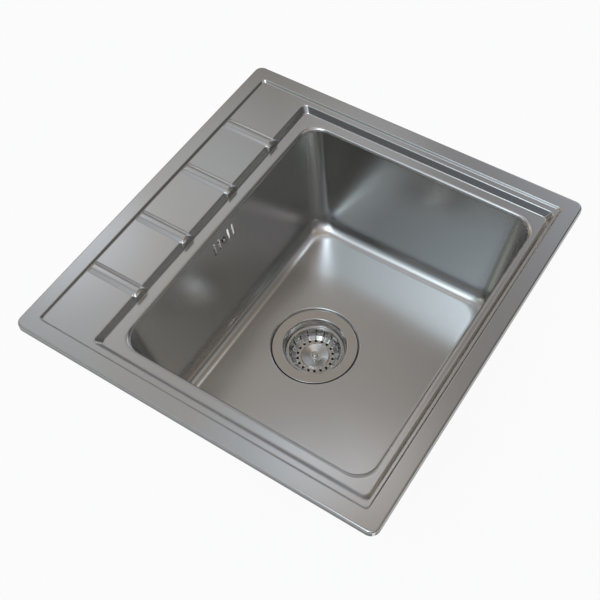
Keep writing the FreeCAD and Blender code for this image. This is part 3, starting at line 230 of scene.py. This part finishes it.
def sheetRings():
    s = sink
    rings = []
    lip = roundedPath([(0, 0, 0), (0, s["rimHeight"], s["rimBend"]), (6, s["rimHeight"], 0)], 8)
    for inset, height in lip[:-1]:
        rings.append((shrunk(s["rim"], inset), max(s["rimCorner"] - inset, 5.0), height))
    rings.append((shrunk(s["rim"], 10), 10.0, s["rimHeight"]))
    tray = roundedPath([
        (-3, s["rimHeight"], 0), (0, s["rimHeight"], s["trayBend"]),
        (s["traySlope"], s["trayHeight"], s["trayBend"]), (3.3, s["trayHeight"], 0)], 6, 0.2)
    for inset, height in tray[:-1]:
        rings.append((shrunk(s["tray"], inset), s["trayCorner"], height))
    trayEnd = shrunk(s["tray"], tray[-2].x)
    ledge = roundedPath([
        (-3, s["trayHeight"], 0), (0, s["trayHeight"], s["ledgeBend"]),
        (s["ledgeSlope"], s["ledgeHeight"], s["ledgeBend"]), (9, s["ledgeHeight"], 0)], 9, 0.1)
    ledgeStart = shrunk(s["ledge"], ledge[1].x)
    # close rings across the left ends of the ribs, wide ones along them
    across = [216.6 - 0.7 * step for step in range(1, 9)] + [205 - 6 * step for step in range(9)]
    across += [154.5 - 0.7 * step for step in range(7)]
    span = trayEnd[0] - ledgeStart[0]
    for x in across:
        share = (-x - trayEnd[0]) / -span
        if 0.005 < share < 0.995:
            corner = s["trayCorner"] + (s["ledgeCorner"] - s["trayCorner"]) * share
            rings.append((mixed(trayEnd, ledgeStart, share), corner, s["trayHeight"]))
    for inset, height in ledge[1:-1]:
        rings.append((shrunk(s["ledge"], inset), s["ledgeCorner"], height))
    ledgeEnd = shrunk(s["ledge"], ledge[-2].x)
    bowl = roundedPath([
        (-12, s["ledgeHeight"], 0), (0, s["ledgeHeight"], s["bowlBead"]),
        (s["bowlInset"], s["bowlFloor"] + s["floorFall"], s["floorBend"]),
        (s["bowlInset"] + 40, s["bowlFloor"] + s["floorFall"], 0)], 12, 0.6)
    bowlStart = shrunk(s["bowl"], bowl[1].x)
    for step in range(1, 10):
        share = step / 10 if step > 6 else step * 0.55 / 6
        corner = s["ledgeCorner"] + (s["bowlCorner"] - s["ledgeCorner"]) * share
        rings.append((mixed(ledgeEnd, bowlStart, share), corner, s["ledgeHeight"]))
    for index, (inset, height) in enumerate(bowl[1:-1]):
        if index == 15:
            top = bowl[index]
            for step in range(1, 10):
                along = top.lerp(Vector((inset, height)), step / 10)
                rings.append((shrunk(s["bowl"], along.x), s["bowlCorner"], along.y))
        rings.append((shrunk(s["bowl"], inset), s["bowlCorner"], height))
    return rings


def buildSink(material):
    s = sink
    rings = [ringPoints(*ring) for ring in sheetRings()]
    # the floor runs from its rounded box to the round waste seat
    floorRing = rings[-1]
    centre = Vector((s["waste"][0] * mm, s["waste"][1] * mm, 0))
    seat = roundedPath([
        (-6, s["bowlFloor"], 0), (0, s["bowlFloor"], s["recessBend"]),
        (s["recessSlope"], s["bowlFloor"] - s["recessDepth"], s["recessBend"]),
        (s["recessRadius"] - s["wasteHole"], s["bowlFloor"] - s["recessDepth"], 0)], 5, 0.3)

    def onCircle(point, radius, height):
        flat = (point - centre).xy.normalized() * radius * mm
        return Vector((centre.x + flat.x, centre.y + flat.y, height * mm))

    outer = s["recessRadius"] - seat[1].x
    for step in range(1, 15):
        share = (step / 15) ** 0.9
        rings.append([p.lerp(onCircle(p, outer, s["bowlFloor"]), share) for p in floorRing])
    for inset, height in seat[1:]:
        rings.append([onCircle(p, s["recessRadius"] - inset, height) for p in floorRing])
    bm = bmesh.new()
    current = bmesh.ops.create_circle(bm, segments=len(rings[0]), radius=1)["verts"]
    for vert, point in zip(current, rings[0]):
        vert.co = point
    loop = [bm.edges.get((a, b)) for a, b in zip(current, current[1:] + current[:1])]
    for points in rings[1:]:
        made = bmesh.ops.extrude_edge_only(bm, edges=loop)["geom"]
        fresh = {item for item in made if isinstance(item, bmesh.types.BMVert)}
        following = []
        for vert in current:
            following.append(next(e.other_vert(vert) for e in vert.link_edges if e.other_vert(vert) in fresh))
        for vert, point in zip(following, points):
            vert.co = point
        current = following
        loop = [bm.edges.get((a, b)) for a, b in zip(current, current[1:] + current[:1])]
    for vert in bm.verts:
        x, y, z = (c / mm for c in vert.co)
        if -218 < x < -134 and z > -4 and abs(y) < 160:
            vert.co.z = -smoothMin(-z, -ribHeight(x, y), s["ribSoft"]) * mm
    bmesh.ops.recalc_face_normals(bm, faces=bm.faces)
    faceUp(bm)
    bmesh.ops.solidify(bm, geom=list(bm.faces), thickness=s["gauge"] * mm)
    print("sink rings:", len(rings), "points each:", len(rings[0]))
    return finishPiece(bm, "pressedSink", "sink", material, ["sink_shell"])


def cutWith(piece, cutters):
    for cutter in cutters:
        modifier = piece.modifiers.new("cut", "BOOLEAN")
        modifier.object = cutter
        modifier.solver = "EXACT"
        bpy.context.view_layer.update()
        baked = bpy.data.meshes.new_from_object(piece.evaluated_get(bpy.context.evaluated_depsgraph_get()))
        piece.modifiers.remove(modifier)
        old = piece.data
        piece.data = baked
        bpy.data.meshes.remove(old)
        bpy.data.objects.remove(cutter)
    piece.data.shade_smooth()
    piece.data.set_sharp_from_angle(angle=math.radians(40))


def cutterObject(bm):
    mesh = bpy.data.meshes.new("cutter")
    bmesh.ops.recalc_face_normals(bm, faces=bm.faces)
    bm.to_mesh(mesh)
    bm.free()
    cutter = bpy.data.objects.new("cutter", mesh)
    bpy.context.scene.collection.objects.link(cutter)
    return cutter


def slotCutter():
    s = sink
    bm = bmesh.new()
    wallX = s["bowl"][0] + 3
    turn = Matrix.Rotation(math.pi / 2, 4, "Y")
    for step in (-2, -1, 1, 2):
        place = Matrix.Translation((wallX * mm, (s["slotY"] + step * s["slotPitch"]) * mm, s["slotZ"] * mm))
        made = bmesh.ops.create_cone(
            bm, cap_ends=True, segments=32, radius1=s["slotWidth"] / 2 * mm,
            radius2=s["slotWidth"] / 2 * mm, depth=14 * mm, matrix=place @ turn)["verts"]
        stretch = (s["slotHeight"] - s["slotWidth"]) / 2 * mm
        for vert in made:
            vert.co.z += stretch if vert.co.z > s["slotZ"] * mm else -stretch
    place = Matrix.Translation((wallX * mm, s["slotY"] * mm, s["slotZ"] * mm))
    bmesh.ops.create_cone(
        bm, cap_ends=True, segments=32, radius1=s["screwHole"] * mm, radius2=s["screwHole"] * mm,
        depth=14 * mm, matrix=place @ turn)
    return cutterObject(bm)


# Pieces turned about the waste's upright axis, from a profile of (radius, height, bend radius)

def spinProfile(bm, points, steps):
    cx, cy = sink["waste"]
    verts = [bm.verts.new(((cx + r) * mm, cy * mm, z * mm)) for r, z in points]
    edges = [bm.edges.new(pair) for pair in zip(verts, verts[1:])]
    bmesh.ops.spin(
        bm, geom=verts + edges, cent=(cx * mm, cy * mm, 0), axis=(0, 0, 1),
        angle=2 * math.pi, steps=steps, use_merge=True)
    bmesh.ops.remove_doubles(bm, verts=bm.verts, dist=1e-6)
    bmesh.ops.recalc_face_normals(bm, faces=bm.faces)


waste = {
    "flangeRadius": 56.8, "flangeTop": -173.7, "mouth": 42.0, "seatRadius": 38.2,
    "seatLevel": -184.7, "cupRadius": 35.8, "cupFloor": -209.7, "gauge": 1.0,
    "screwHole": 5.3, "drainCircle": 20.0, "drainRadius": 5.0, "drainCount": 8, "steps": 192,
}


def buildFlangeCup(material):
    w = waste
    profile = roundedPath([
        (w["screwHole"], w["cupFloor"], 0),
        (w["cupRadius"], w["cupFloor"], 2.0),
        (w["cupRadius"], w["seatLevel"], 0.6),
        (w["seatRadius"] + 0.4, w["seatLevel"], 0.7),
        (w["mouth"] - 0.6, w["flangeTop"] - 2.2, 0.8),
        (w["mouth"] + 0.9, w["flangeTop"] - 0.25, 1.2),
        (w["flangeRadius"], w["flangeTop"], 0.55),
        (w["flangeRadius"], w["flangeTop"] - 1.0, 0)], 5, 0.12)
    bm = bmesh.new()
    spinProfile(bm, profile, w["steps"])
    faceUp(bm)
    bmesh.ops.solidify(bm, geom=list(bm.faces), thickness=w["gauge"] * 0.9 * mm)
    piece = finishPiece(bm, "wasteFlangeCup", "sink", material, ["flange_cup"])
    cutter = bmesh.new()
    for index in range(w["drainCount"]):
        angle = 2 * math.pi * index / w["drainCount"]
        centre = Vector((
            (sink["waste"][0] + w["drainCircle"] * math.cos(angle)) * mm,
            w["drainCircle"] * math.sin(angle) * mm, w["cupFloor"] * mm))
        bmesh.ops.create_cone(
            cutter, cap_ends=True, segments=32, radius1=w["drainRadius"] * mm,
            radius2=w["drainRadius"] * mm, depth=6 * mm, matrix=Matrix.Translation(centre))
    cutWith(piece, [cutterObject(cutter)])
    return piece


basket = {
    "rimRadius": 37.4, "rimTop": -183.6, "wall": 34.6, "floor": -199.4, "gauge": 0.8,
    "disc": 18.3, "discLevel": -198.2, "dish": 1.8, "stemHole": 2.1,
    "holes": 18, "holeCircle": 23.8, "holeRadius": 1.9,
    "slitCircle": 32.6, "slitWidth": 1.3, "slitLength": 4.0,
    "steps": 288, "flute": 0.5, "fluteShare": 0.16,
}


def buildBasket(material):
    b = basket
    profile = roundedPath([
        (b["stemHole"], b["discLevel"] - b["dish"], 0),
        (b["disc"] * 0.45, b["discLevel"] - b["dish"] * 0.85, 8.0),
        (b["disc"], b["discLevel"] + 0.1, 0.9),
        (b["disc"] + 1.2, b["floor"], 0.7),
        (b["wall"] * 0.74, b["floor"], 2.0),
        (b["wall"] * 0.905, b["floor"] + 3.9, 4.0),
        (b["wall"] - 0.2, b["rimTop"] - 3.0, 3.0),
        (b["wall"] + 0.2, b["rimTop"], 0.7),
        (b["rimRadius"], b["rimTop"], 0.4),
        (b["rimRadius"], b["rimTop"] - 0.8, 0)], 6, 0.1)
    bm = bmesh.new()
    spinProfile(bm, profile, b["steps"])
    bmesh.ops.subdivide_edges(bm, edges=[
        e for e in bm.edges if abs(e.verts[0].co.z - e.verts[1].co.z) > 1.2 * mm], cuts=3, use_grid_fill=True)
    # pressed flutes run from each hole up the wall to its slit
    for vert in bm.verts:
        x, y = vert.co.x / mm - sink["waste"][0], vert.co.y / mm
        radius = math.hypot(x, y)
        if b["holeCircle"] - 2 < radius < b["slitCircle"] + 2.5:
            turnShare = (math.atan2(y, x) / (2 * math.pi) * b["holes"]) % 1.0
            aside = min(turnShare, 1 - turnShare) / b["fluteShare"]
            fade = min(1.0, (radius - b["holeCircle"] + 2) / 2, (b["slitCircle"] + 2.5 - radius) / 2)
            if aside < 1:
                push = b["flute"] * fade * (0.5 + 0.5 * math.cos(math.pi * aside))
                vert.co.z -= push * 0.7 * mm
                vert.co.x += push * 0.7 * mm * x / radius
                vert.co.y += push * 0.7 * mm * y / radius
    bmesh.ops.recalc_face_normals(bm, faces=bm.faces)
    faceUp(bm)
    bmesh.ops.solidify(bm, geom=list(bm.faces), thickness=b["gauge"] * 0.85 * mm)
    piece = finishPiece(bm, "strainerBasket", "basket", material, ["strainer_basket"])
    cutter = bmesh.new()
    for index in range(b["holes"]):
        turn = Matrix.Translation((sink["waste"][0] * mm, 0, 0)) @ Matrix.Rotation(
            2 * math.pi * index / b["holes"], 4, "Z")
        bmesh.ops.create_cone(
            cutter, cap_ends=True, segments=24, radius1=b["holeRadius"] * mm,
            radius2=b["holeRadius"] * mm, depth=8 * mm,
            matrix=turn @ Matrix.Translation((b["holeCircle"] * mm, 0, b["floor"] * mm)))
        bmesh.ops.create_cube(
            cutter, size=1, matrix=turn @ Matrix.Translation(
                (b["slitCircle"] * mm, 0, (b["floor"] + 6.4) * mm)) @ Matrix.Diagonal(
                (b["slitLength"] * mm, b["slitWidth"] * mm, 13 * mm, 1)))
    cutWith(piece, [cutterObject(cutter)])
    return piece


knob = {
    "seat": -199.9, "foot": 5.0, "waist": 2.9, "head": 4.2, "top": -193.4, "shank": 2.0,
    "tip": 2.4, "tipLow": -218.7, "grooveTop": -204.3, "grooveLow": -205.3, "groove": 1.4, "steps": 64,
}


def buildStem(material):
    k = knob
    profile = roundedPath([
        (0.0, k["tipLow"], 0),
        (k["tip"], k["tipLow"], 1.1),
        (k["tip"], k["tipLow"] + 3.6, 0.3),
        (k["shank"], k["tipLow"] + 4.8, 0.3),
        (k["shank"], k["grooveLow"], 0.0),
        (k["groove"], k["grooveLow"], 0.0),
        (k["groove"], k["grooveTop"], 0.0),
        (k["shank"], k["grooveTop"], 0.0),
        (k["shank"], k["seat"], 0.0),
        (k["foot"], k["seat"], 0.2),
        (k["foot"], k["seat"] + 1.2, 0.5),
        (k["waist"], k["seat"] + 1.8, 0.4),
        (k["waist"], k["seat"] + 3.0, 0.4),
        (k["head"], k["top"] - 2.4, 0.5),
        (k["head"], k["top"] - 0.2, 1.5),
        (0.0, k["top"], 0)], 6, 0.03)
    bm = bmesh.new()
    spinProfile(bm, profile, k["steps"])
    bmesh.ops.recalc_face_normals(bm, faces=bm.faces)
    return finishPiece(bm, "basketKnob", "basket", material, ["basket_stem"])


# Finishes. Patterns are in object metres, so a scale of 1000 / size is one cell of that many mm.

def brushedSteel(name, colourHex, roughness, spread, grainMm, bumpMm, lip=None):
    # rolled and polished sheet: even grey metal, its sheen broken by very fine rolling marks
    material = newMaterial(name)
    place = addNode(material, "ShaderNodeTexCoord")
    wide = addNode(material, "ShaderNodeTexNoise", inputs={
        "Vector": place.outputs["Object"], "Scale": 1000 / 60, "Detail": 2.0, "Roughness": 0.5})
    fine = addNode(material, "ShaderNodeTexNoise", inputs={
        "Vector": place.outputs["Object"], "Scale": 1000 / grainMm, "Detail": 3.0, "Roughness": 0.6})
    both = addNode(material, "ShaderNodeMath", {"operation": "ADD"}, {
        0: wide.outputs["Fac"], 1: fine.outputs["Fac"]})
    sheen = addNode(material, "ShaderNodeMapRange", inputs={
        "Value": both.outputs[0], "From Min": 0.7, "From Max": 1.3,
        "To Min": roughness - spread, "To Max": roughness + spread})
    bump = addNode(material, "ShaderNodeBump", inputs={
        "Height": fine.outputs["Fac"], "Strength": 0.03, "Distance": bumpMm * mm})
    shader = addNode(material, "ShaderNodeBsdfPrincipled", inputs={
        "Base Color": linearColour(colourHex), "Metallic": 1.0,
        "Roughness": sheen.outputs["Result"], "Normal": bump.outputs["Normal"]})
    if lip:
        # painted dark reflection: a dark band is painted into the metal's colour on the rim's side below its
        # rounded edge, standing in for the dark reflection that side shows
        axes = addNode(material, "ShaderNodeSeparateXYZ", inputs={0: place.outputs["Object"]})
        outside = []
        for axis, reach in (("X", lip["reachX"]), ("Y", lip["reachY"])):
            size = addNode(material, "ShaderNodeMath", {"operation": "ABSOLUTE"}, {0: axes.outputs[axis]})
            outside.append(addNode(material, "ShaderNodeMath", {"operation": "GREATER_THAN"}, {
                0: size.outputs[0], 1: reach * mm}))
        edge = addNode(material, "ShaderNodeMath", {"operation": "MAXIMUM"}, {
            0: outside[0].outputs[0], 1: outside[1].outputs[0]})
        below = addNode(material, "ShaderNodeMapRange", inputs={
            "Value": axes.outputs["Z"], "From Min": lip["low"] * mm, "From Max": lip["high"] * mm,
            "To Min": 1.0, "To Max": 0.0})
        darkReflectionBand = addNode(material, "ShaderNodeMath", {"operation": "MULTIPLY"}, {
            0: edge.outputs[0], 1: below.outputs["Result"]})
        tone = addNode(material, "ShaderNodeMix", {"data_type": "RGBA"}, {"Factor": darkReflectionBand.outputs[0]})
        tone.inputs[6].default_value = linearColour(colourHex)
        tone.inputs[7].default_value = linearColour(lip["colour"])
        material.node_tree.links.new(tone.outputs[2], shader.inputs["Base Color"])
    addNode(material, "ShaderNodeOutputMaterial", inputs={"Surface": shader.outputs["BSDF"]})
    return material


def mouldedSkin(name, darkHex, lightHex, roughness, grainMm, bumpMm, metallic=0.0):
    # moulded, cast or foamed part: a little uneven in tone, with a fine surface grain
    material = newMaterial(name)
    place = addNode(material, "ShaderNodeTexCoord")
    grain = addNode(material, "ShaderNodeTexNoise", inputs={
        "Vector": place.outputs["Object"], "Scale": 1000 / grainMm, "Detail": 4.0, "Roughness": 0.6})
    cloud = addNode(material, "ShaderNodeTexNoise", inputs={
        "Vector": place.outputs["Object"], "Scale": 1000 / 25, "Detail": 2.0, "Roughness": 0.5})
    tone = addNode(material, "ShaderNodeMix", {"data_type": "RGBA"}, {
        "Factor": cloud.outputs["Fac"]})
    tone.inputs[6].default_value = linearColour(darkHex)
    tone.inputs[7].default_value = linearColour(lightHex)
    gloss = addNode(material, "ShaderNodeMapRange", inputs={
        "Value": grain.outputs["Fac"], "From Min": 0.3, "From Max": 0.7,
        "To Min": roughness - 0.07, "To Max": roughness + 0.07})
    bump = addNode(material, "ShaderNodeBump", inputs={
        "Height": grain.outputs["Fac"], "Strength": 0.4, "Distance": bumpMm * mm})
    shader = addNode(material, "ShaderNodeBsdfPrincipled", inputs={
        "Base Color": tone.outputs[2], "Metallic": metallic,
        "Roughness": gloss.outputs["Result"], "Normal": bump.outputs["Normal"]})
    addNode(material, "ShaderNodeOutputMaterial", inputs={"Surface": shader.outputs["BSDF"]})
    return material


def milkyPlastic(name, colourHex, roughness, grainMm, bumpMm):
    # unpigmented polypropylene: frosted and milky, so light comes through its thin walls to the slots
    material = newMaterial(name)
    place = addNode(material, "ShaderNodeTexCoord")
    grain = addNode(material, "ShaderNodeTexNoise", inputs={
        "Vector": place.outputs["Object"], "Scale": 1000 / grainMm, "Detail": 4.0, "Roughness": 0.6})
    bump = addNode(material, "ShaderNodeBump", inputs={
        "Height": grain.outputs["Fac"], "Strength": 0.3, "Distance": bumpMm * mm})
    shader = addNode(material, "ShaderNodeBsdfPrincipled", inputs={
        "Base Color": linearColour(colourHex), "Roughness": roughness, "IOR": 1.49,
        "Transmission Weight": 0.92, "Normal": bump.outputs["Normal"]})
    addNode(material, "ShaderNodeOutputMaterial", inputs={"Surface": shader.outputs["BSDF"]})
    return material


finishes = {
    # the last entries of the satin steel place a painted dark reflection, a dark band on the rim's side
    "satin_steel": brushedSteel("satinSteelPaintedRimReflection", "CDCDCB", 0.22, 0.004, 0.9, 0.003, {
        "reachX": 237.8, "reachY": 247.8, "low": 5.4, "high": 7.4, "colour": "55565A"}),
    "polished_steel": brushedSteel("polishedStainlessSteel", "CFCECB", 0.15, 0.03, 0.6, 0.01),
    "plated_steel": brushedSteel("zincPlatedSteel", "A9AEB2", 0.36, 0.06, 1.2, 0.03),
    "seal_foam": mouldedSkin("foamSeal", "26272A", "33353A", 0.85, 0.5, 0.12),
    "damping_sheet": mouldedSkin("bitumenDampingSheet", "2B2C2E", "3A3B3E", 0.75, 1.6, 0.2),
    "seal_rubber": mouldedSkin("blackSealRubber", "161718", "202224", 0.62, 0.5, 0.03),
    "white_plastic": mouldedSkin("mouldedWhitePlastic", "E4E5E3", "F0F1EF", 0.4, 0.8, 0.02),
    "black_plastic": mouldedSkin("mouldedBlackPlastic", "1A1B1D", "26282B", 0.45, 0.6, 0.03),
    "brass": mouldedSkin("turnedBrass", "B08A45", "C19A54", 0.32, 0.7, 0.02, 1.0),
}
print("finishes made:", len(finishes))

for part in frame["record"]["subparts"]:
    node = nodes[part["node"]]
    node.data.materials.clear()
    node.data.materials.append(finishes[part["material_slot"]])

milky = milkyPlastic("milkyPolypropylene", "FAFAF8", 0.2, 0.8, 0.01)
for name in ("overflow_housing", "overflow_pipe"):
    nodes[name].data.materials[0] = milky

pressed = buildSink(finishes["satin_steel"])
cutWith(pressed, [slotCutter()])
print("sink pressed:", len(pressed.data.polygons), "faces")
buildFlangeCup(finishes["polished_steel"])
buildBasket(finishes["polished_steel"])
buildStem(finishes["polished_steel"])
print("waste and basket turned")


# Studio: pale floor, lamps and the camera of the photograph

studio = {
    "floorLevel": -0.268, "floorSize": 6.0, "coveHeight": 1.1, "floorColour": "F2F2F2",
    "floorShade": "F0F0F0", "glowColour": "FDFDFD", "glowStrength": 1.03, "glowShare": 0.92,
    "skyColour": "FFFFFF", "skyStrength": 0.1,
    "lens": 60.12, "eye": (407.53, -582.13, 953.88),
    "right": (0.837679, 0.545038, -0.035028),
    "down": (0.431549, -0.699837, -0.569205),
    "forward": (-0.334752, 0.461695, -0.821449),
    "aim": (0.0, 0.0, -0.05), "reach": 2.2,
    # soft bright patches of a room, fitted so that the steel's lights and darks follow the photograph:
    # azimuth and elevation in degrees, sharpness, strength, colour
    "patches": [
        (267, 66, 70, 5.01, "DEEEFF"),
        (267, 53, 70, 1.45, "EEFFE9"),
        (267, 40, 70, 1.17, "CADFFF"),
        (93, 40, 70, 1.02, "E6EDFF"),
        (21, 53, 70, 0.74, "FFF7EE"),
        (223, 40, 70, 0.66, "F2FFEA"),
        (223, 66, 70, 0.62, "D1EFFF"),
        (309, 60, 14, 0.57, "F8F2FF"),
        (162, 36, 14, 0.47, "FFDFC0"),
        (108, 12, 14, 0.38, "F8F8FF"),
        (90, 84, 14, 0.34, "FFE2BD"),
        (159, 53, 70, 0.3, "45C2FF"),
        (206, 60, 14, 0.24, "F5EFFF"),
        (137, 53, 70, 0.22, "FFF3DD"),
        (115, 53, 70, 0.1, "DFE9FF"),
    ],
    # name, azimuth and elevation in degrees, size in metres, strength in watts, colour
    "lamps": [
        ("windowLeft", 154, 45, 0.4, 0.41, "D6E8FF"),
        ("windowHighBack", 118, 70, 0.4, 0.35, "F4F6FF"),
        ("windowHighLeft", 136, 70, 0.4, 0.2, "A9DAFF"),
        ("windowBack", 118, 45, 0.4, 0.16, "ECF4FF"),
        ("windowBackLeft", 136, 45, 0.4, 0.15, "C1E3FF"),
    ],
}


def buildFloor():
    bm = bmesh.new()
    bmesh.ops.create_grid(
        bm, x_segments=1, y_segments=1, size=studio["floorSize"],
        matrix=Matrix.Translation((0, 0, studio["floorLevel"])))
    # its border turns up, so that a low view ends in the same pale surface
    raised = bmesh.ops.extrude_edge_only(bm, edges=[e for e in bm.edges if e.is_boundary])["geom"]
    for item in raised:
        if isinstance(item, bmesh.types.BMVert):
            item.co.z += studio["coveHeight"]
    mesh = bpy.data.meshes.new("studioFloor")
    bm.to_mesh(mesh)
    bm.free()
    floor = bpy.data.objects.new("studioFloor", mesh)
    bpy.context.scene.collection.objects.link(floor)
    material = newMaterial("paintedStudioFloor")
    place = addNode(material, "ShaderNodeTexCoord")
    grain = addNode(material, "ShaderNodeTexNoise", inputs={
        "Vector": place.outputs["Object"], "Scale": 1000 / 40, "Detail": 3.0})
    tone = addNode(material, "ShaderNodeMix", {"data_type": "RGBA"}, {"Factor": grain.outputs["Fac"]})
    tone.inputs[6].default_value = linearColour(studio["floorShade"])
    tone.inputs[7].default_value = linearColour(studio["floorColour"])
    matt = addNode(material, "ShaderNodeBsdfDiffuse", inputs={"Color": tone.outputs[2]})
    # to the camera, in the metal and through clear parts the floor is plain white, and it keeps its shadow
    glow = addNode(material, "ShaderNodeEmission", inputs={
        "Color": linearColour(studio["glowColour"]), "Strength": studio["glowStrength"]})
    path = addNode(material, "ShaderNodeLightPath")
    seen = addNode(material, "ShaderNodeMath", {"operation": "MAXIMUM"}, {
        0: path.outputs["Is Camera Ray"], 1: path.outputs["Is Glossy Ray"]})
    seenToo = addNode(material, "ShaderNodeMath", {"operation": "MAXIMUM"}, {
        0: seen.outputs[0], 1: path.outputs["Is Transmission Ray"]})
    share = addNode(material, "ShaderNodeMath", {"operation": "MULTIPLY"}, {
        0: seenToo.outputs[0], 1: studio["glowShare"]})
    mix = addNode(material, "ShaderNodeMixShader", inputs={
        0: share.outputs[0], 1: matt.outputs["BSDF"], 2: glow.outputs["Emission"]})
    addNode(material, "ShaderNodeOutputMaterial", inputs={"Surface": mix.outputs["Shader"]})
    mesh.materials.append(material)


def pointing(azimuth, elevation):
    turn, lift = math.radians(azimuth), math.radians(elevation)
    return Vector((math.cos(turn) * math.cos(lift), math.sin(turn) * math.cos(lift), math.sin(lift)))


def buildSky():
    # a dim room with a few soft bright patches, which give the metal its broad lights and darks
    world = bpy.data.worlds.new("studioRoom")
    world.use_nodes = True
    world.node_tree.nodes.clear()
    place = addNode(world, "ShaderNodeTexCoord")
    total = addNode(world, "ShaderNodeBackground", inputs={
        "Color": linearColour(studio["skyColour"]), "Strength": studio["skyStrength"]})
    for azimuth, elevation, sharpness, strength, colour in studio["patches"]:
        near = addNode(world, "ShaderNodeVectorMath", {"operation": "DOT_PRODUCT"}, {
            0: place.outputs["Generated"], 1: pointing(azimuth, elevation)})
        off = addNode(world, "ShaderNodeMath", {"operation": "MULTIPLY_ADD"}, {
            0: near.outputs["Value"], 1: sharpness, 2: -sharpness})
        soft = addNode(world, "ShaderNodeMath", {"operation": "EXPONENT"}, {0: off.outputs[0]})
        level = addNode(world, "ShaderNodeMath", {"operation": "MULTIPLY"}, {0: soft.outputs[0], 1: strength})
        patch = addNode(world, "ShaderNodeBackground", inputs={
            "Color": linearColour(colour), "Strength": level.outputs[0]})
        total = addNode(world, "ShaderNodeAddShader", inputs={0: total.outputs[0], 1: patch.outputs[0]})
    addNode(world, "ShaderNodeOutputWorld", inputs={"Surface": total.outputs[0]})
    bpy.context.scene.world = world


def buildLamps():
    aim = Vector(studio["aim"])
    for name, azimuth, elevation, size, strength, colour in studio["lamps"]:
        lamp = bpy.data.lights.new(name, "AREA")
        lamp.shape = "SQUARE"
        lamp.size = size
        lamp.energy = strength
        lamp.color = linearColour(colour)[:3]
        away = pointing(azimuth, elevation)
        holder = bpy.data.objects.new(name, lamp)
        holder.matrix_world = Matrix.Translation(aim + away * studio["reach"]) @ (
            -away).to_track_quat("-Z", "Y").to_matrix().to_4x4()
        bpy.context.scene.collection.objects.link(holder)


def buildCamera():
    view = bpy.data.cameras.new("productCamera")
    view.lens = studio["lens"]
    view.sensor_width = 36.0
    view.sensor_fit = "HORIZONTAL"
    view.clip_start = 0.01
    view.clip_end = 50.0
    holder = bpy.data.objects.new("productCamera", view)
    axes = Matrix((
        studio["right"], [-c for c in studio["down"]], [-c for c in studio["forward"]])).transposed()
    place = Vector(studio["eye"]) * mm
    holder.matrix_world = Matrix.Translation(place) @ axes.to_4x4()
    bpy.context.scene.collection.objects.link(holder)
    bpy.context.scene.camera = holder


buildFloor()
buildSky()
buildLamps()
buildCamera()
bpy.context.scene.view_settings.view_transform = "Standard"
print("studio ready")
